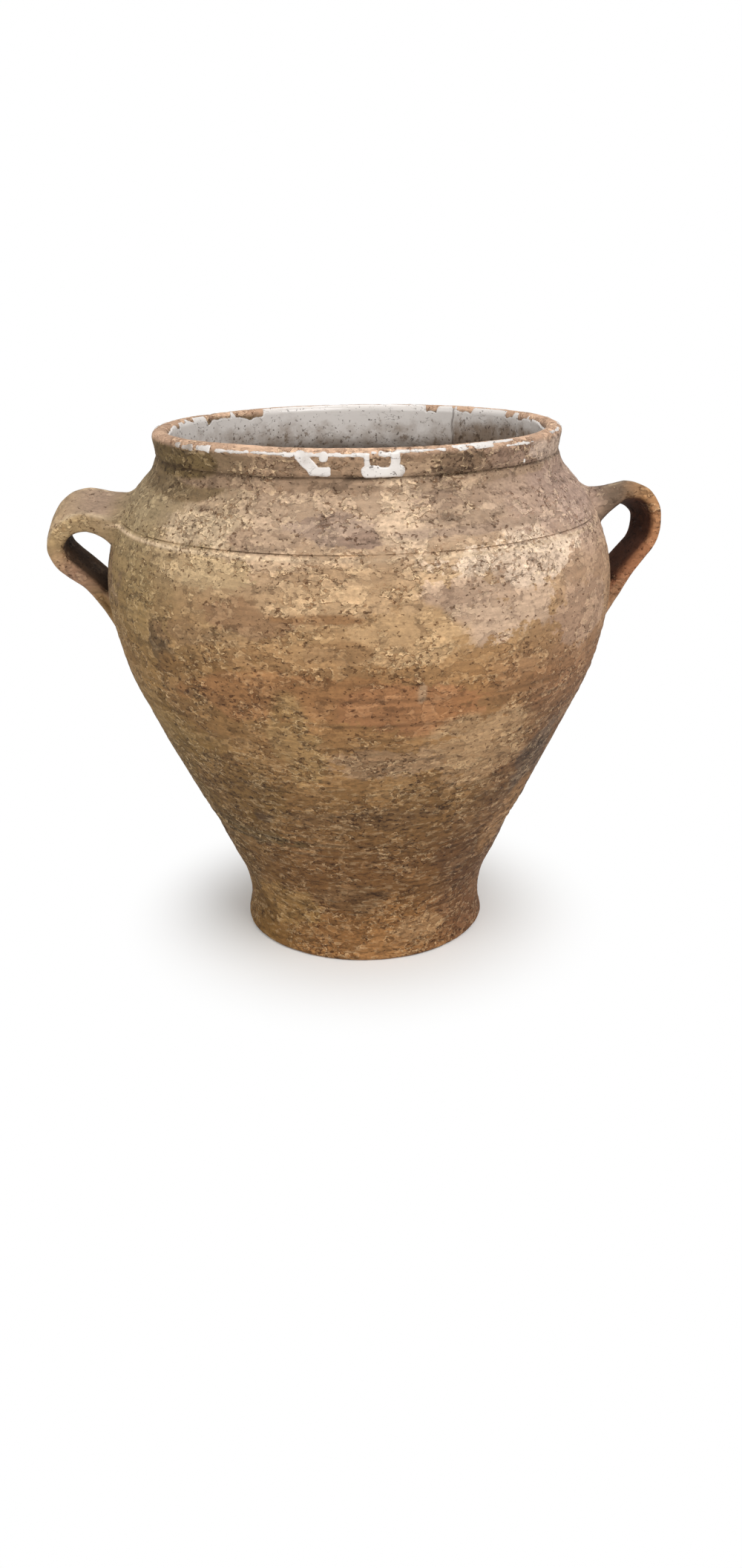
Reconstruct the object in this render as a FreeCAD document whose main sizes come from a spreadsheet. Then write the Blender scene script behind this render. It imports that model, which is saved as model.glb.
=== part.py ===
import FreeCAD, Part
import Sketcher
import math
import os

# Two-handled earthenware storage jar with a wide mouth, thrown in sections and luted together.
# Origin at the centre of the flat underside, +Z up, the two handles on +X and -X, millimetres.

SIZES = [
    ("jar_height", 420, "underside to top of the lip"),
    ("waist_radius", 100, "narrowest radius, just above the foot"),
    ("foot_flare", 3.2, "how far the foot spreads out from the waist"),
    ("foot_curve", 87, "radius of the hollow curve of foot and waist"),
    ("belly_radius", 201, "greatest radius of the jar"),
    ("belly_height", 296, "height of the greatest radius"),
    ("belly_curve", 168, "radius of the swelling curve below the belly"),
    ("neck_radius", 157, "radius at the neck, under the collar"),
    ("neck_curve", 22, "radius of the hollow curve under the collar"),
    ("collar_height", 18, "height of the thickened rim"),
    ("collar_step", 0.8, "how far the lower edge of the collar stands out from the neck"),
    ("rim_flare", 1.4, "how far the rim spreads out from the neck"),
    ("rim_thickness", 13, "thickness of the lip"),
    ("lip_round", 5, "rounding of both edges of the lip"),
    ("foot_round", 3, "rounding of the outer bottom edge"),
    ("wall", 11, "thickness of the thrown wall"),
    ("floor_thickness", 16, "thickness of the floor"),
    ("floor_round", 28, "inside rounding between floor and wall"),
    ("mouth_round", 12, "inside rounding below the mouth"),
    ("glaze", 1, "thickness of the white glaze"),
    ("foot_joint", 112, "height of the lower luted joint"),
    ("line_drop", 47, "depth of the incised line and upper luted joint below the neck"),
    ("line_width", 4, "width of the incised line"),
    ("line_depth", 1.3, "depth of the incised line"),
    ("handle_drop", 39, "depth of the strap's centre line below the neck"),
    ("handle_standoff", 43, "how far the handles stand out from the belly"),
    ("handle_bend", 25, "bend radius of the strap's centre line"),
    ("handle_slope", 37, "slope of the returning strap, degrees"),
    ("handle_lean", 11, "twist of the handle off the vertical, degrees"),
    ("strap_width", 54, "width of the pulled strap"),
    ("strap_thickness", 14.5, "thickness of the pulled strap"),
    ("strap_round", 4.5, "rounding of the strap's edges"),
    ("root_rise", 5, "height of the upper root above the centre line, inside the wall"),
    ("root_fall", 45, "depth of the upper root below the centre line, inside the wall"),
    ("root_spread", 6, "how far each side of a root spreads past the strap"),
    ("tail_length", 70, "length of the returning strap and its tail"),
    ("tail_fall", 33, "how far the smeared tail runs down, inside the wall"),
    ("drip_width", 17, "width of the runs of glaze on the collar"),
    ("streak_height", 5, "height of the glaze streaks under the lip"),
    ("glaze_margin", 2, "least height of the glaze above the lower edge of the collar"),
]

doc = FreeCAD.newDocument("olive_jar")
sheet = doc.addObject("Spreadsheet::Sheet", "dims")
for row, (alias, number, meaning) in enumerate(SIZES, start=1):
    sheet.set(f"A{row}", meaning)
    sheet.set(f"B{row}", str(number))
    sheet.setAlias(f"B{row}", alias)
doc.recompute()


def size(alias):
    return float(sheet.get(alias))


def formula(text):
    """Spell a formula of size names with the sheet's name in front of each one."""
    for alias, _, _ in sorted(SIZES, key=lambda entry: -len(entry[0])):
        text = text.replace("{" + alias + "}", "dims." + alias)
    return text


def plane_of(body, role):
    return next(feature for feature in body.Origin.OriginFeatures if feature.Role == role)


def new_body(name):
    return doc.addObject("PartDesign::Body", name)


def new_sketch(body, name, role="XZ_Plane"):
    sketch = body.newObject("Sketcher::SketchObject", name)
    sketch.AttachmentSupport = [(plane_of(body, role), "")]
    sketch.MapMode = "FlatFace"
    return sketch


class Outline:
    """A closed outline of lines and arcs in one sketch, each size bound to the sheet."""

    def __init__(self, sketch):
        self.sketch = sketch

    def line(self, start, end, construction=False):
        piece = Part.LineSegment(FreeCAD.Vector(*start, 0), FreeCAD.Vector(*end, 0))
        return self.sketch.addGeometry(piece, construction)

    def arc(self, centre, start, end, clockwise=False):
        """Arc about a centre; the sketch keeps arcs counter-clockwise, so a clockwise one is turned."""
        first, last = (end, start) if clockwise else (start, end)
        radius = math.dist(centre, first)
        angles = [math.atan2(point[1] - centre[1], point[0] - centre[0]) for point in (first, last)]
        if angles[1] < angles[0]:
            angles[1] += 2 * math.pi
        circle = Part.Circle(FreeCAD.Vector(*centre, 0), FreeCAD.Vector(0, 0, 1), radius)
        return self.sketch.addGeometry(Part.ArcOfCircle(circle, *angles), False)

    def circle(self, centre, radius):
        ring = Part.Circle(FreeCAD.Vector(*centre, 0), FreeCAD.Vector(0, 0, 1), radius)
        return self.sketch.addGeometry(ring, True)

    def fix(self, kind, *where, to=None):
        """Add a constraint; one with a formula is bound to it."""
        if to is None:
            return self.sketch.addConstraint(Sketcher.Constraint(kind, *where))
        text = formula(to)
        worth = float(self.sketch.evalExpression(text))
        index = self.sketch.addConstraint(Sketcher.Constraint(kind, *where, worth))
        self.sketch.setExpression(f"Constraints[{index}]", text)
        return index

    def at(self, geometry, point, across=None, up=None):
        if across is not None:
            self.fix("DistanceX", -1, 1, geometry, point, to=across)
        if up is not None:
            self.fix("DistanceY", -1, 1, geometry, point, to=up)


START, END, CENTRE = 1, 2, 3
NECK_HEIGHT = "({jar_height} - {collar_height})"
WAIST_HEIGHT = "sqrt({foot_curve} ^ 2 - ({foot_curve} - {foot_flare}) ^ 2)"
SHOULDER_CURVE = (
    "((({belly_radius} - {neck_radius}) ^ 2 + (" + NECK_HEIGHT + " - {belly_height}) ^ 2)"
    " / (2 * ({belly_radius} - {neck_radius})) - {neck_curve})"
)
LINE_HEIGHT = "(" + NECK_HEIGHT + " - {line_drop})"
# The rounding under the mouth grows where a low shoulder leaves it no room: it stays above the belly.
MOUTH_SPAN = "({belly_radius} - {neck_radius} - {rim_flare} + {rim_thickness} - {wall})"
MOUTH_EASE = (
    "max({mouth_round}; " + MOUTH_SPAN
    + " - sqrt(2 * " + MOUTH_SPAN + " * (" + SHOULDER_CURVE + " - {wall})))"
)

# Geometry that the outlines start from: the outer wall is a hollow foot curve, a straight flare,
# a swelling belly curve, a shoulder curve and a hollow neck curve, each tangent to the next.
neck_height = size("jar_height") - size("collar_height")
waist_height = math.sqrt(size("foot_curve") ** 2 - (size("foot_curve") - size("foot_flare")) ** 2)
swell = size("belly_radius") - size("neck_radius")
rise = neck_height - size("belly_height")
shoulder_curve = (swell ** 2 + rise ** 2) / (2 * swell) - size("neck_curve")
shoulder_turn = 2 * math.atan2(swell, rise)
foot_centre = (size("waist_radius") + size("foot_curve"), waist_height)
belly_centre = (size("belly_radius") - size("belly_curve"), size("belly_height"))
shoulder_centre = (size("belly_radius") - shoulder_curve, size("belly_height"))
neck_centre = (size("neck_radius") + size("neck_curve"), neck_height)
mouth_span = swell - size("rim_flare") + size("rim_thickness") - size("wall")
roomy_ease = mouth_span - math.sqrt(2 * mouth_span * (shoulder_curve - size("wall")))
mouth_ease = max(size("mouth_round"), roomy_ease)
curves = size("foot_curve") + size("belly_curve")
inward = foot_centre[0] - belly_centre[0]
climb = size("belly_height") - waist_height
flare = math.asin(curves / math.hypot(inward, climb)) - math.atan2(inward, climb)


def along(centre, radius, angle):
    return (centre[0] + radius * math.cos(angle), centre[1] + radius * math.sin(angle))


def revolve(body, sketch, name):
    turned = body.newObject("PartDesign::Revolution", name)
    turned.Profile = sketch
    turned.ReferenceAxis = (sketch, ["V_Axis"])
    turned.Angle = 360
    sketch.Visibility = False
    return turned


def outer_form():
    """The solid that the jar fills, with the incised line cut round its shoulder."""
    body = new_body("outer_form")
    sketch = new_sketch(body, "outer_profile")
    outline = Outline(sketch)
    top = size("jar_height")
    foot = size("waist_radius") + size("foot_flare")
    collar = size("neck_radius") + size("collar_step")
    rim = size("neck_radius") + size("rim_flare")
    low = along(foot_centre, size("foot_curve"), math.pi - flare)
    high = along(belly_centre, size("belly_curve"), -flare)
    belly = (size("belly_radius"), size("belly_height"))
    bend = along(shoulder_centre, shoulder_curve, shoulder_turn)
    neck = (size("neck_radius"), neck_height)
    base = outline.line((0, 0), (foot, 0))
    foot_arc = outline.arc(foot_centre, (foot, 0), low, clockwise=True)
    cone = outline.line(low, high)
    belly_arc = outline.arc(belly_centre, high, belly)
    shoulder_arc = outline.arc(shoulder_centre, belly, bend)
    neck_arc = outline.arc(neck_centre, bend, neck, clockwise=True)
    step = outline.line(neck, (collar, neck_height))
    side = outline.line((collar, neck_height), (rim, top))
    lid = outline.line((rim, top), (0, top))
    axis = outline.line((0, top), (0, 0))
    outline.fix("Coincident", base, START, -1, 1)
    outline.fix("Coincident", axis, END, base, START)
    outline.fix("Horizontal", base)
    outline.fix("Horizontal", step)
    outline.fix("Horizontal", lid)
    outline.fix("Vertical", axis)
    outline.fix("Coincident", base, END, foot_arc, END)
    outline.fix("Tangent", foot_arc, START, cone, START)
    outline.fix("Tangent", cone, END, belly_arc, START)
    outline.fix("Tangent", belly_arc, END, shoulder_arc, START)
    outline.fix("Tangent", shoulder_arc, END, neck_arc, END)
    outline.fix("Coincident", neck_arc, START, step, START)
    outline.fix("Coincident", step, END, side, START)
    outline.fix("Coincident", side, END, lid, START)
    outline.fix("Coincident", lid, END, axis, START)
    outline.at(base, END, across="{waist_radius} + {foot_flare}")
    outline.at(foot_arc, CENTRE, across="{waist_radius} + {foot_curve}")
    outline.fix("Radius", foot_arc, to="{foot_curve}")
    outline.fix("Radius", belly_arc, to="{belly_curve}")
    outline.at(belly_arc, CENTRE, up="{belly_height}")
    outline.at(belly_arc, END, across="{belly_radius}", up="{belly_height}")
    outline.fix("Radius", neck_arc, to="{neck_curve}")
    outline.at(neck_arc, CENTRE, up=NECK_HEIGHT)
    outline.at(neck_arc, START, across="{neck_radius}", up=NECK_HEIGHT)
    outline.at(side, START, across="{neck_radius} + {collar_step}")
    outline.at(side, END, across="{neck_radius} + {rim_flare}", up="{jar_height}")
    doc.recompute()
    revolve(body, sketch, "outer_turned")
    doc.recompute()

    line = new_sketch(body, "incised_line")
    notch = Outline(line)
    height = neck_height - size("line_drop")
    bulge = shoulder_curve if height > size("belly_height") else size("belly_curve")
    surface = size("belly_radius") - bulge + math.sqrt(bulge ** 2 - (height - size("belly_height")) ** 2)
    half = size("line_width") / 2
    out = surface + half
    tip = (surface - size("line_depth"), height)
    lower = notch.line(tip, (out, height - half))
    face = notch.line((out, height - half), (out, height + half))
    upper = notch.line((out, height + half), tip)
    notch.fix("Coincident", lower, END, face, START)
    notch.fix("Coincident", face, END, upper, START)
    notch.fix("Coincident", upper, END, lower, START)
    notch.fix("Vertical", face)
    curve_there = "(" + LINE_HEIGHT + " > {belly_height} ? " + SHOULDER_CURVE + " : {belly_curve})"
    wall_there = (
        "{belly_radius} - " + curve_there
        + " + sqrt(" + curve_there + " ^ 2 - (" + LINE_HEIGHT + " - {belly_height}) ^ 2)"
    )
    notch.at(lower, START, across=wall_there + " - {line_depth}", up=LINE_HEIGHT)
    notch.at(face, START, across=wall_there + " + {line_width} / 2", up=LINE_HEIGHT + " - {line_width} / 2")
    notch.at(face, END, up=LINE_HEIGHT + " + {line_width} / 2")
    doc.recompute()
    before = body.Shape.Volume
    groove = body.newObject("PartDesign::Groove", "incised_groove")
    groove.Profile = line
    groove.ReferenceAxis = (line, ["V_Axis"])
    groove.Angle = 360
    doc.recompute()
    if not 0 < before - body.Shape.Volume < 0.01 * before:
        raise RuntimeError("the incised line did not cut the shoulder")
    return body


def inner_form(name, skin):
    """The hollow of the jar, drawn in from the clay by a skin: none for the clay, the glaze inside it."""
    inset = size(skin) if skin else 0
    less = " - {" + skin + "}" if skin else ""
    more = " + {" + skin + "}" if skin else ""
    body = new_body(name)
    sketch = new_sketch(body, name + "_profile")
    outline = Outline(sketch)
    thick = size("wall") + inset
    top = size("jar_height") + size("collar_height")
    bottom = size("floor_thickness") + inset
    corner = size("floor_round") - inset
    mouth = size("neck_radius") + size("rim_flare") - size("rim_thickness") - inset
    ease = mouth_ease + inset
    high = along(belly_centre, size("belly_curve") - thick, -flare)
    belly = (size("belly_radius") - thick, size("belly_height"))
    reach = shoulder_curve - thick
    across = mouth + ease - shoulder_centre[0]
    ease_centre = (mouth + ease, shoulder_centre[1] + math.sqrt((reach + ease) ** 2 - across ** 2))
    turn = math.atan2(ease_centre[1] - shoulder_centre[1], across)
    bend = along(shoulder_centre, reach, turn)
    # The corner arc touches the floor and the straight flare of the wall.
    corner_up = bottom + corner
    touch_up = corner_up - corner * math.sin(flare)
    touch = (high[0] - (high[1] - touch_up) * math.tan(flare), touch_up)
    corner_centre = (touch[0] - corner * math.cos(flare), corner_up)
    floor = outline.line((0, bottom), (corner_centre[0], bottom))
    corner_arc = outline.arc(corner_centre, (corner_centre[0], bottom), touch)
    cone = outline.line(touch, high)
    belly_arc = outline.arc(belly_centre, high, belly)
    shoulder_arc = outline.arc(shoulder_centre, belly, bend)
    ease_arc = outline.arc(ease_centre, bend, (mouth, ease_centre[1]), clockwise=True)
    land = outline.line((mouth, ease_centre[1]), (mouth, top))
    lid = outline.line((mouth, top), (0, top))
    axis = outline.line((0, top), (0, bottom))
    guide = outline.circle(foot_centre, size("foot_curve") + thick)
    outline.fix("PointOnObject", floor, START, -2)
    outline.fix("Horizontal", floor)
    outline.fix("Tangent", floor, END, corner_arc, START)
    outline.fix("Tangent", corner_arc, END, cone, START)
    outline.fix("Tangent", cone, END, belly_arc, START)
    outline.fix("Tangent", belly_arc, END, shoulder_arc, START)
    outline.fix("Tangent", shoulder_arc, END, ease_arc, END)
    outline.fix("Tangent", ease_arc, START, land, START)
    outline.fix("Coincident", land, END, lid, START)
    outline.fix("Coincident", lid, END, axis, START)
    outline.fix("Coincident", axis, END, floor, START)
    outline.fix("Vertical", land)
    outline.fix("Horizontal", lid)
    outline.fix("Vertical", axis)
    outline.at(guide, CENTRE, across="{waist_radius} + {foot_curve}", up=WAIST_HEIGHT)
    outline.fix("Radius", guide, to="{foot_curve} + {wall}" + more)
    outline.fix("Tangent", cone, guide)
    outline.at(floor, START, up="{floor_thickness}" + more)
    outline.fix("Radius", corner_arc, to="{floor_round}" + less)
    outline.fix("Radius", belly_arc, to="{belly_curve} - {wall}" + less)
    outline.at(belly_arc, CENTRE, up="{belly_height}")
    outline.at(belly_arc, END, across="{belly_radius} - {wall}" + less, up="{belly_height}")
    outline.fix("Radius", shoulder_arc, to=SHOULDER_CURVE + " - {wall}" + less)
    outline.fix("Radius", ease_arc, to=MOUTH_EASE + more)
    outline.at(land, END, across="{neck_radius} + {rim_flare} - {rim_thickness}" + less,
               up="{jar_height} + {collar_height}")
    doc.recompute()
    revolve(body, sketch, name + "_turned")
    doc.recompute()
    return body


def boolean(kind, name, base, tool):
    result = doc.addObject("Part::" + kind, name)
    result.Base = base
    result.Tool = tool
    doc.recompute()
    return result


def slab(name, low, high):
    """A disc wider than the jar that holds one section's height."""
    disc = doc.addObject("Part::Cylinder", name)
    disc.setExpression("Radius", formula("2 * {belly_radius}"))
    disc.setExpression("Height", formula(f"({high}) - ({low})"))
    disc.setExpression("Placement.Base.z", formula(low))
    doc.recompute()
    return disc


def rounded(name, base, height, alias):
    """Round every circular edge of a section that lies at one height."""
    fillet = doc.addObject("Part::Fillet", name)
    fillet.Base = base
    radius = size(alias)
    edges = [
        (number, radius, radius)
        for number, edge in enumerate(base.Shape.Edges, start=1)
        if edge.BoundBox.ZLength < 0.01 and abs(edge.BoundBox.ZMin - height) < 0.01
    ]
    fillet.Edges = edges
    doc.recompute()
    return fillet


outer = outer_form()
hollow = inner_form("clay_hollow", None)
lined = inner_form("glaze_hollow", "glaze")
shell = boolean("Cut", "thrown_shell", outer, hollow)

BELOW = "0 - {wall}"
ABOVE = "{jar_height} + {wall}"
foot_cut = boolean("Common", "foot_cut", shell, slab("foot_slab", BELOW, "{foot_joint}"))
rim_cut = boolean("Common", "rim_cut", shell, slab("rim_slab", NECK_HEIGHT, ABOVE))
foot_section = rounded("foot_section", foot_cut, 0, "foot_round")
lower_wall = boolean("Common", "lower_wall", shell, slab("wall_slab", "{foot_joint}", LINE_HEIGHT))
shoulder = boolean("Common", "shoulder_section", shell, slab("shoulder_slab", LINE_HEIGHT, NECK_HEIGHT))
rim_collar = rounded("rim_collar", rim_cut, size("jar_height"), "lip_round")

# The white glaze lines the hollow from the floor up to where the lip starts to round.
lining = boolean("Cut", "lining_full", hollow, lined)
above_glaze = slab("above_glaze", "{jar_height} - {lip_round}", "2 * {jar_height}")
glaze_lining = boolean("Cut", "glaze_lining", lining, above_glaze)


def strap_face(body, name, low, high, half_width, across, up, turn=None):
    """A rounded strap section on a plane across the strap; heights are from the strap's centre line."""
    sketch = new_sketch(body, name, "YZ_Plane")
    angle = FreeCAD.Rotation(FreeCAD.Vector(1, 0, 0), 1 if turn else 0)
    sketch.AttachmentOffset = FreeCAD.Placement(FreeCAD.Vector(0, 0, 0), angle)
    sketch.setExpression("AttachmentOffset.Base.y", formula(up))
    sketch.setExpression("AttachmentOffset.Base.z", formula(across))
    if turn:
        sketch.setExpression("AttachmentOffset.Rotation.Angle", formula(turn))
    outline = Outline(sketch)
    corner, half, bottom, top = 3.0, 20.0, -8.0, 8.0
    flats = [
        outline.line((-half + corner, bottom), (half - corner, bottom)),
        outline.line((half, bottom + corner), (half, top - corner)),
        outline.line((half - corner, top), (-half + corner, top)),
        outline.line((-half, top - corner), (-half, bottom + corner)),
    ]
    centres = [
        (half - corner, bottom + corner),
        (half - corner, top - corner),
        (-half + corner, top - corner),
        (-half + corner, bottom + corner),
    ]
    starts = [(half - corner, bottom), (half, top - corner), (-half + corner, top), (-half, bottom + corner)]
    ends = [(half, bottom + corner), (half - corner, top), (-half, top - corner), (-half + corner, bottom)]
    rounds = [outline.arc(*points) for points in zip(centres, starts, ends)]
    for number in range(4):
        outline.fix("Tangent", flats[number], END, rounds[number], START)
        outline.fix("Tangent", rounds[number], END, flats[(number + 1) % 4], START)
    for number in range(1, 4):
        outline.fix("Equal", rounds[0], rounds[number])
    for number in (0, 2):
        outline.fix("Horizontal", flats[number])
        outline.fix("Vertical", flats[number + 1])
    outline.fix("Radius", rounds[0], to="{strap_round}")
    outline.at(flats[0], START, up=low)
    outline.at(flats[2], START, up=high)
    outline.at(flats[1], START, across=half_width)
    outline.at(flats[3], START, across="0 - (" + half_width + ")")
    doc.recompute()
    return sketch


HALF_THICK = "{strap_thickness} / 2"
HALF_WIDE = "{strap_width} / 2"
STRAP_HEIGHT = "(" + NECK_HEIGHT + " - {handle_drop})"
BEND_ACROSS = "({belly_radius} + {handle_standoff} - " + HALF_THICK + " - {handle_bend})"
ROOT_MIDDLE = "(0.42 * {neck_radius} + 0.58 * " + BEND_ACROSS + ")"
RETURN_TURN = "180 - {handle_slope}"


def along_return(share):
    """Where the strap's centre line is, a share of the tail's length after the bend."""
    across = (
        BEND_ACROSS + " + {handle_bend} * sin({handle_slope} * 1 deg)"
        + f" - {share} * {{tail_length}} * cos({{handle_slope}} * 1 deg)"
    )
    up = (
        STRAP_HEIGHT + " - {handle_bend} * (1 + cos({handle_slope} * 1 deg))"
        + f" - {share} * {{tail_length}} * sin({{handle_slope}} * 1 deg)"
    )
    return across, up


def pulled_handle(name, turn):
    """A pulled strap: bent over, flared into the shoulder above, smeared down the belly below."""
    body = new_body(name + "_strap")
    low, high = "0 - " + HALF_THICK, HALF_THICK
    strap = strap_face(body, name + "_section", low, high, HALF_WIDE, BEND_ACROSS, STRAP_HEIGHT)
    outline = Outline(strap)
    side, drop = size("strap_width") / 2, -size("handle_bend")
    axis = outline.line((-side, drop), (side, drop), construction=True)
    outline.fix("Horizontal", axis)
    outline.at(axis, START, across="0 - " + HALF_WIDE, up="0 - {handle_bend}")
    outline.at(axis, END, across=HALF_WIDE)
    doc.recompute()
    bend = body.newObject("PartDesign::Revolution", name + "_bend")
    bend.Profile = strap
    bend.ReferenceAxis = (strap, ["Axis0"])
    bend.setExpression("Angle", formula(RETURN_TURN))
    doc.recompute()
    if bend.Shape.BoundBox.ZMax > size("jar_height") - size("collar_height"):
        bend.Reversed = True
        doc.recompute()

    spread = HALF_WIDE + " + {root_spread}"
    root = body.newObject("PartDesign::AdditiveLoft", name + "_root")
    root.Profile = strap
    root.Sections = [
        strap_face(body, name + "_root_middle", "0 - 0.42 * {root_fall}", "0.4 * {root_rise}",
                   HALF_WIDE + " + {root_spread} / 3", ROOT_MIDDLE, STRAP_HEIGHT),
        strap_face(body, name + "_root_face", "0 - {root_fall}", "{root_rise}",
                   spread, "{neck_radius}", STRAP_HEIGHT),
    ]
    doc.recompute()

    tail = body.newObject("PartDesign::AdditiveLoft", name + "_tail")
    tail.Profile = strap_face(body, name + "_tail_start", low, high, HALF_WIDE,
                              *along_return(0), RETURN_TURN)
    tail.Sections = [
        strap_face(body, name + "_tail_middle", low, "0.37 * {tail_fall}",
                   HALF_WIDE + " + {root_spread} / 3", *along_return(0.5), RETURN_TURN),
        strap_face(body, name + "_tail_face", "0 - 0.3 * {tail_fall}", "{tail_fall}",
                   spread, *along_return(1), RETURN_TURN),
    ]
    doc.recompute()
    body.Tip = tail

    # The handle leans about the level line through its loop, and the left one is the right one turned round.
    pivot = neck_height - size("handle_drop") - size("handle_bend")
    lean = FreeCAD.Rotation(FreeCAD.Vector(-1, 0, 0), size("handle_lean"))
    level = FreeCAD.Vector(0, 0, pivot)
    leaned = FreeCAD.Placement(FreeCAD.Vector(0, 0, 0), lean, level)
    turned = FreeCAD.Placement(FreeCAD.Vector(0, 0, 0), FreeCAD.Rotation(FreeCAD.Vector(0, 0, 1), turn))
    body.Placement = turned.multiply(leaned)
    doc.recompute()
    return boolean("Cut", name, body, outer)


handle_right = pulled_handle("handle_right", 0)
handle_left = pulled_handle("handle_left", 180)


def collar_skin():
    """A skin of glaze over the outer side of the collar, below the rounding of the lip."""
    body = new_body("collar_skin")
    sketch = new_sketch(body, "collar_skin_profile")
    outline = Outline(sketch)
    low = neck_height + size("glaze_margin")
    high = size("jar_height") - size("lip_round")
    slope = (size("rim_flare") - size("collar_step")) / size("collar_height")
    inner = [size("neck_radius") + size("collar_step") + slope * (up - neck_height) for up in (low, high)]
    outer_radii = [radius + size("glaze") for radius in inner]
    points = [(inner[0], low), (outer_radii[0], low), (outer_radii[1], high), (inner[1], high)]
    sides = [outline.line(points[number], points[(number + 1) % 4]) for number in range(4)]
    for number in range(4):
        outline.fix("Coincident", sides[number], END, sides[(number + 1) % 4], START)
    there = "{neck_radius} + {collar_step} + ({rim_flare} - {collar_step}) * "
    low_part = there + "{glaze_margin} / {collar_height}"
    high_part = there + "({collar_height} - {lip_round}) / {collar_height}"
    outline.at(sides[0], START, across=low_part, up=NECK_HEIGHT + " + {glaze_margin}")
    outline.at(sides[1], START, across=low_part + " + {glaze}", up=NECK_HEIGHT + " + {glaze_margin}")
    outline.at(sides[2], START, across=high_part + " + {glaze}", up="{jar_height} - {lip_round}")
    outline.at(sides[3], START, across=high_part, up="{jar_height} - {lip_round}")
    doc.recompute()
    revolve(body, sketch, "collar_skin_turned")
    doc.recompute()
    return body


def glaze_piece(name, skin, azimuth, wide, low):
    """One remnant of glaze: the part of the skin that a rounded upright block covers."""
    body = new_body(name + "_block")
    sketch = new_sketch(body, name + "_outline")
    outline = Outline(sketch)
    top = size("jar_height") + size("wall")
    half, bottom = size("drip_width") / 2, size("jar_height") - size("collar_height")
    left = outline.line((-half, top), (-half, bottom))
    tip = outline.arc((0, bottom), (-half, bottom), (half, bottom))
    right = outline.line((half, bottom), (half, top))
    lid = outline.line((half, top), (-half, top))
    outline.fix("Tangent", left, END, tip, START)
    outline.fix("Tangent", tip, END, right, START)
    outline.fix("Vertical", right)
    outline.fix("Coincident", right, END, lid, START)
    outline.fix("Coincident", lid, END, left, START)
    outline.fix("Horizontal", lid)
    outline.fix("Vertical", left)
    outline.fix("Radius", tip, to=wide + " / 2")
    outline.at(tip, CENTRE, across="0", up="{jar_height} - {lip_round} - (" + low + ") + " + wide + " / 2")
    outline.at(lid, START, up="{jar_height} + {wall}")
    doc.recompute()
    pad = body.newObject("PartDesign::Pad", name + "_pad")
    pad.Profile = sketch
    pad.setExpression("Length", formula("2 * {neck_radius}"))
    doc.recompute()
    if pad.Shape.BoundBox.YMax > 1:
        pad.Reversed = True
    body.Placement.Rotation = FreeCAD.Rotation(FreeCAD.Vector(0, 0, 1), azimuth)
    doc.recompute()
    return boolean("Common", name, skin, body)


skin = collar_skin()
RUN = "0.8 * ({collar_height} - {lip_round})"
remnants = [
    glaze_piece("glaze_run_left", skin, -14, "{drip_width}", RUN),
    glaze_piece("glaze_run_right", skin, 5, "{drip_width} * 1.2", RUN),
    glaze_piece("glaze_drop_left", skin, -52, "{drip_width}", "{streak_height} * 2"),
    glaze_piece("glaze_drop_right", skin, 28, "{drip_width} * 0.8", "{streak_height} * 1.6"),
    glaze_piece("glaze_drop_far", skin, 52, "{drip_width} * 0.8", "{streak_height} * 1.6"),
]
rim_glaze = doc.addObject("Part::Compound", "rim_glaze")
rim_glaze.Links = remnants
doc.recompute()

PIECES = [
    foot_section,
    lower_wall,
    shoulder,
    rim_collar,
    handle_left,
    handle_right,
    glaze_lining,
    rim_glaze,
]
for piece in PIECES:
    piece.Label = piece.Name

for entry in doc.Objects:
    if "Invalid" in entry.State or "Error" in entry.State:
        raise RuntimeError(f"{entry.Name} did not build: {entry.State}")
os.makedirs("parts", exist_ok=True)
for piece in PIECES:
    if piece.Shape.isNull() or not piece.Shape.isValid():
        raise RuntimeError(f"{piece.Name} has no valid shape")
    piece.Shape.exportStep(f"parts/{piece.Label}.step")
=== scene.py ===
import math
from functools import partialmethod
from itertools import product

import bpy
import numpy as np
from mathutils import Matrix, Vector


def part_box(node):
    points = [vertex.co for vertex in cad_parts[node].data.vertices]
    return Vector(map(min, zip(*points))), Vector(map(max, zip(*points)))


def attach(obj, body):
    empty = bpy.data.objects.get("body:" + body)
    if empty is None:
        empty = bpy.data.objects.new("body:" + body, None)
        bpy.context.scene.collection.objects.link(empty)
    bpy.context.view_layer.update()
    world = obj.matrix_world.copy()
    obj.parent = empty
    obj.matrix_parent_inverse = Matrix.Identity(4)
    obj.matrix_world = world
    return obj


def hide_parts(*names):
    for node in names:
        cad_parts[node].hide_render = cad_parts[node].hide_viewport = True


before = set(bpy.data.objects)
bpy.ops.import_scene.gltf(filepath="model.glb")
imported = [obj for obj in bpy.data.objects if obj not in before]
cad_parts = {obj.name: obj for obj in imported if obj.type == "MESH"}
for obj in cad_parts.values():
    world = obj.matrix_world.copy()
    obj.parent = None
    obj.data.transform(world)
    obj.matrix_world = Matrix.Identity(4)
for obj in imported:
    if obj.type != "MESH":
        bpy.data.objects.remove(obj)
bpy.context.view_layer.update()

MM = 0.001
FULL_TURN = 2 * math.pi

# The camera stands where the photograph was taken from, and the jar is turned a little to it.
PHOTO_TALL = 2114
FOCAL_PIXELS = 1750
SENSOR_WIDTH = 36.0
CAMERA_ASIDE = 7.0 * MM
CAMERA_FAR = 1045.0 * MM
CAMERA_HIGH = 534.4 * MM
CAMERA_PITCH = math.radians(21.77)
CAMERA_ROLL = math.radians(0.85)
JAR_TURN = math.radians(4.5)

camera_spot = Matrix.Rotation(-JAR_TURN, 3, "Z") @ Vector((CAMERA_ASIDE, -CAMERA_FAR, CAMERA_HIGH))
FRONT = math.atan2(camera_spot.y, camera_spot.x)


def add_object(name, data):
    made = bpy.data.objects.new(name, data)
    bpy.context.scene.collection.objects.link(made)
    return made


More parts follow.
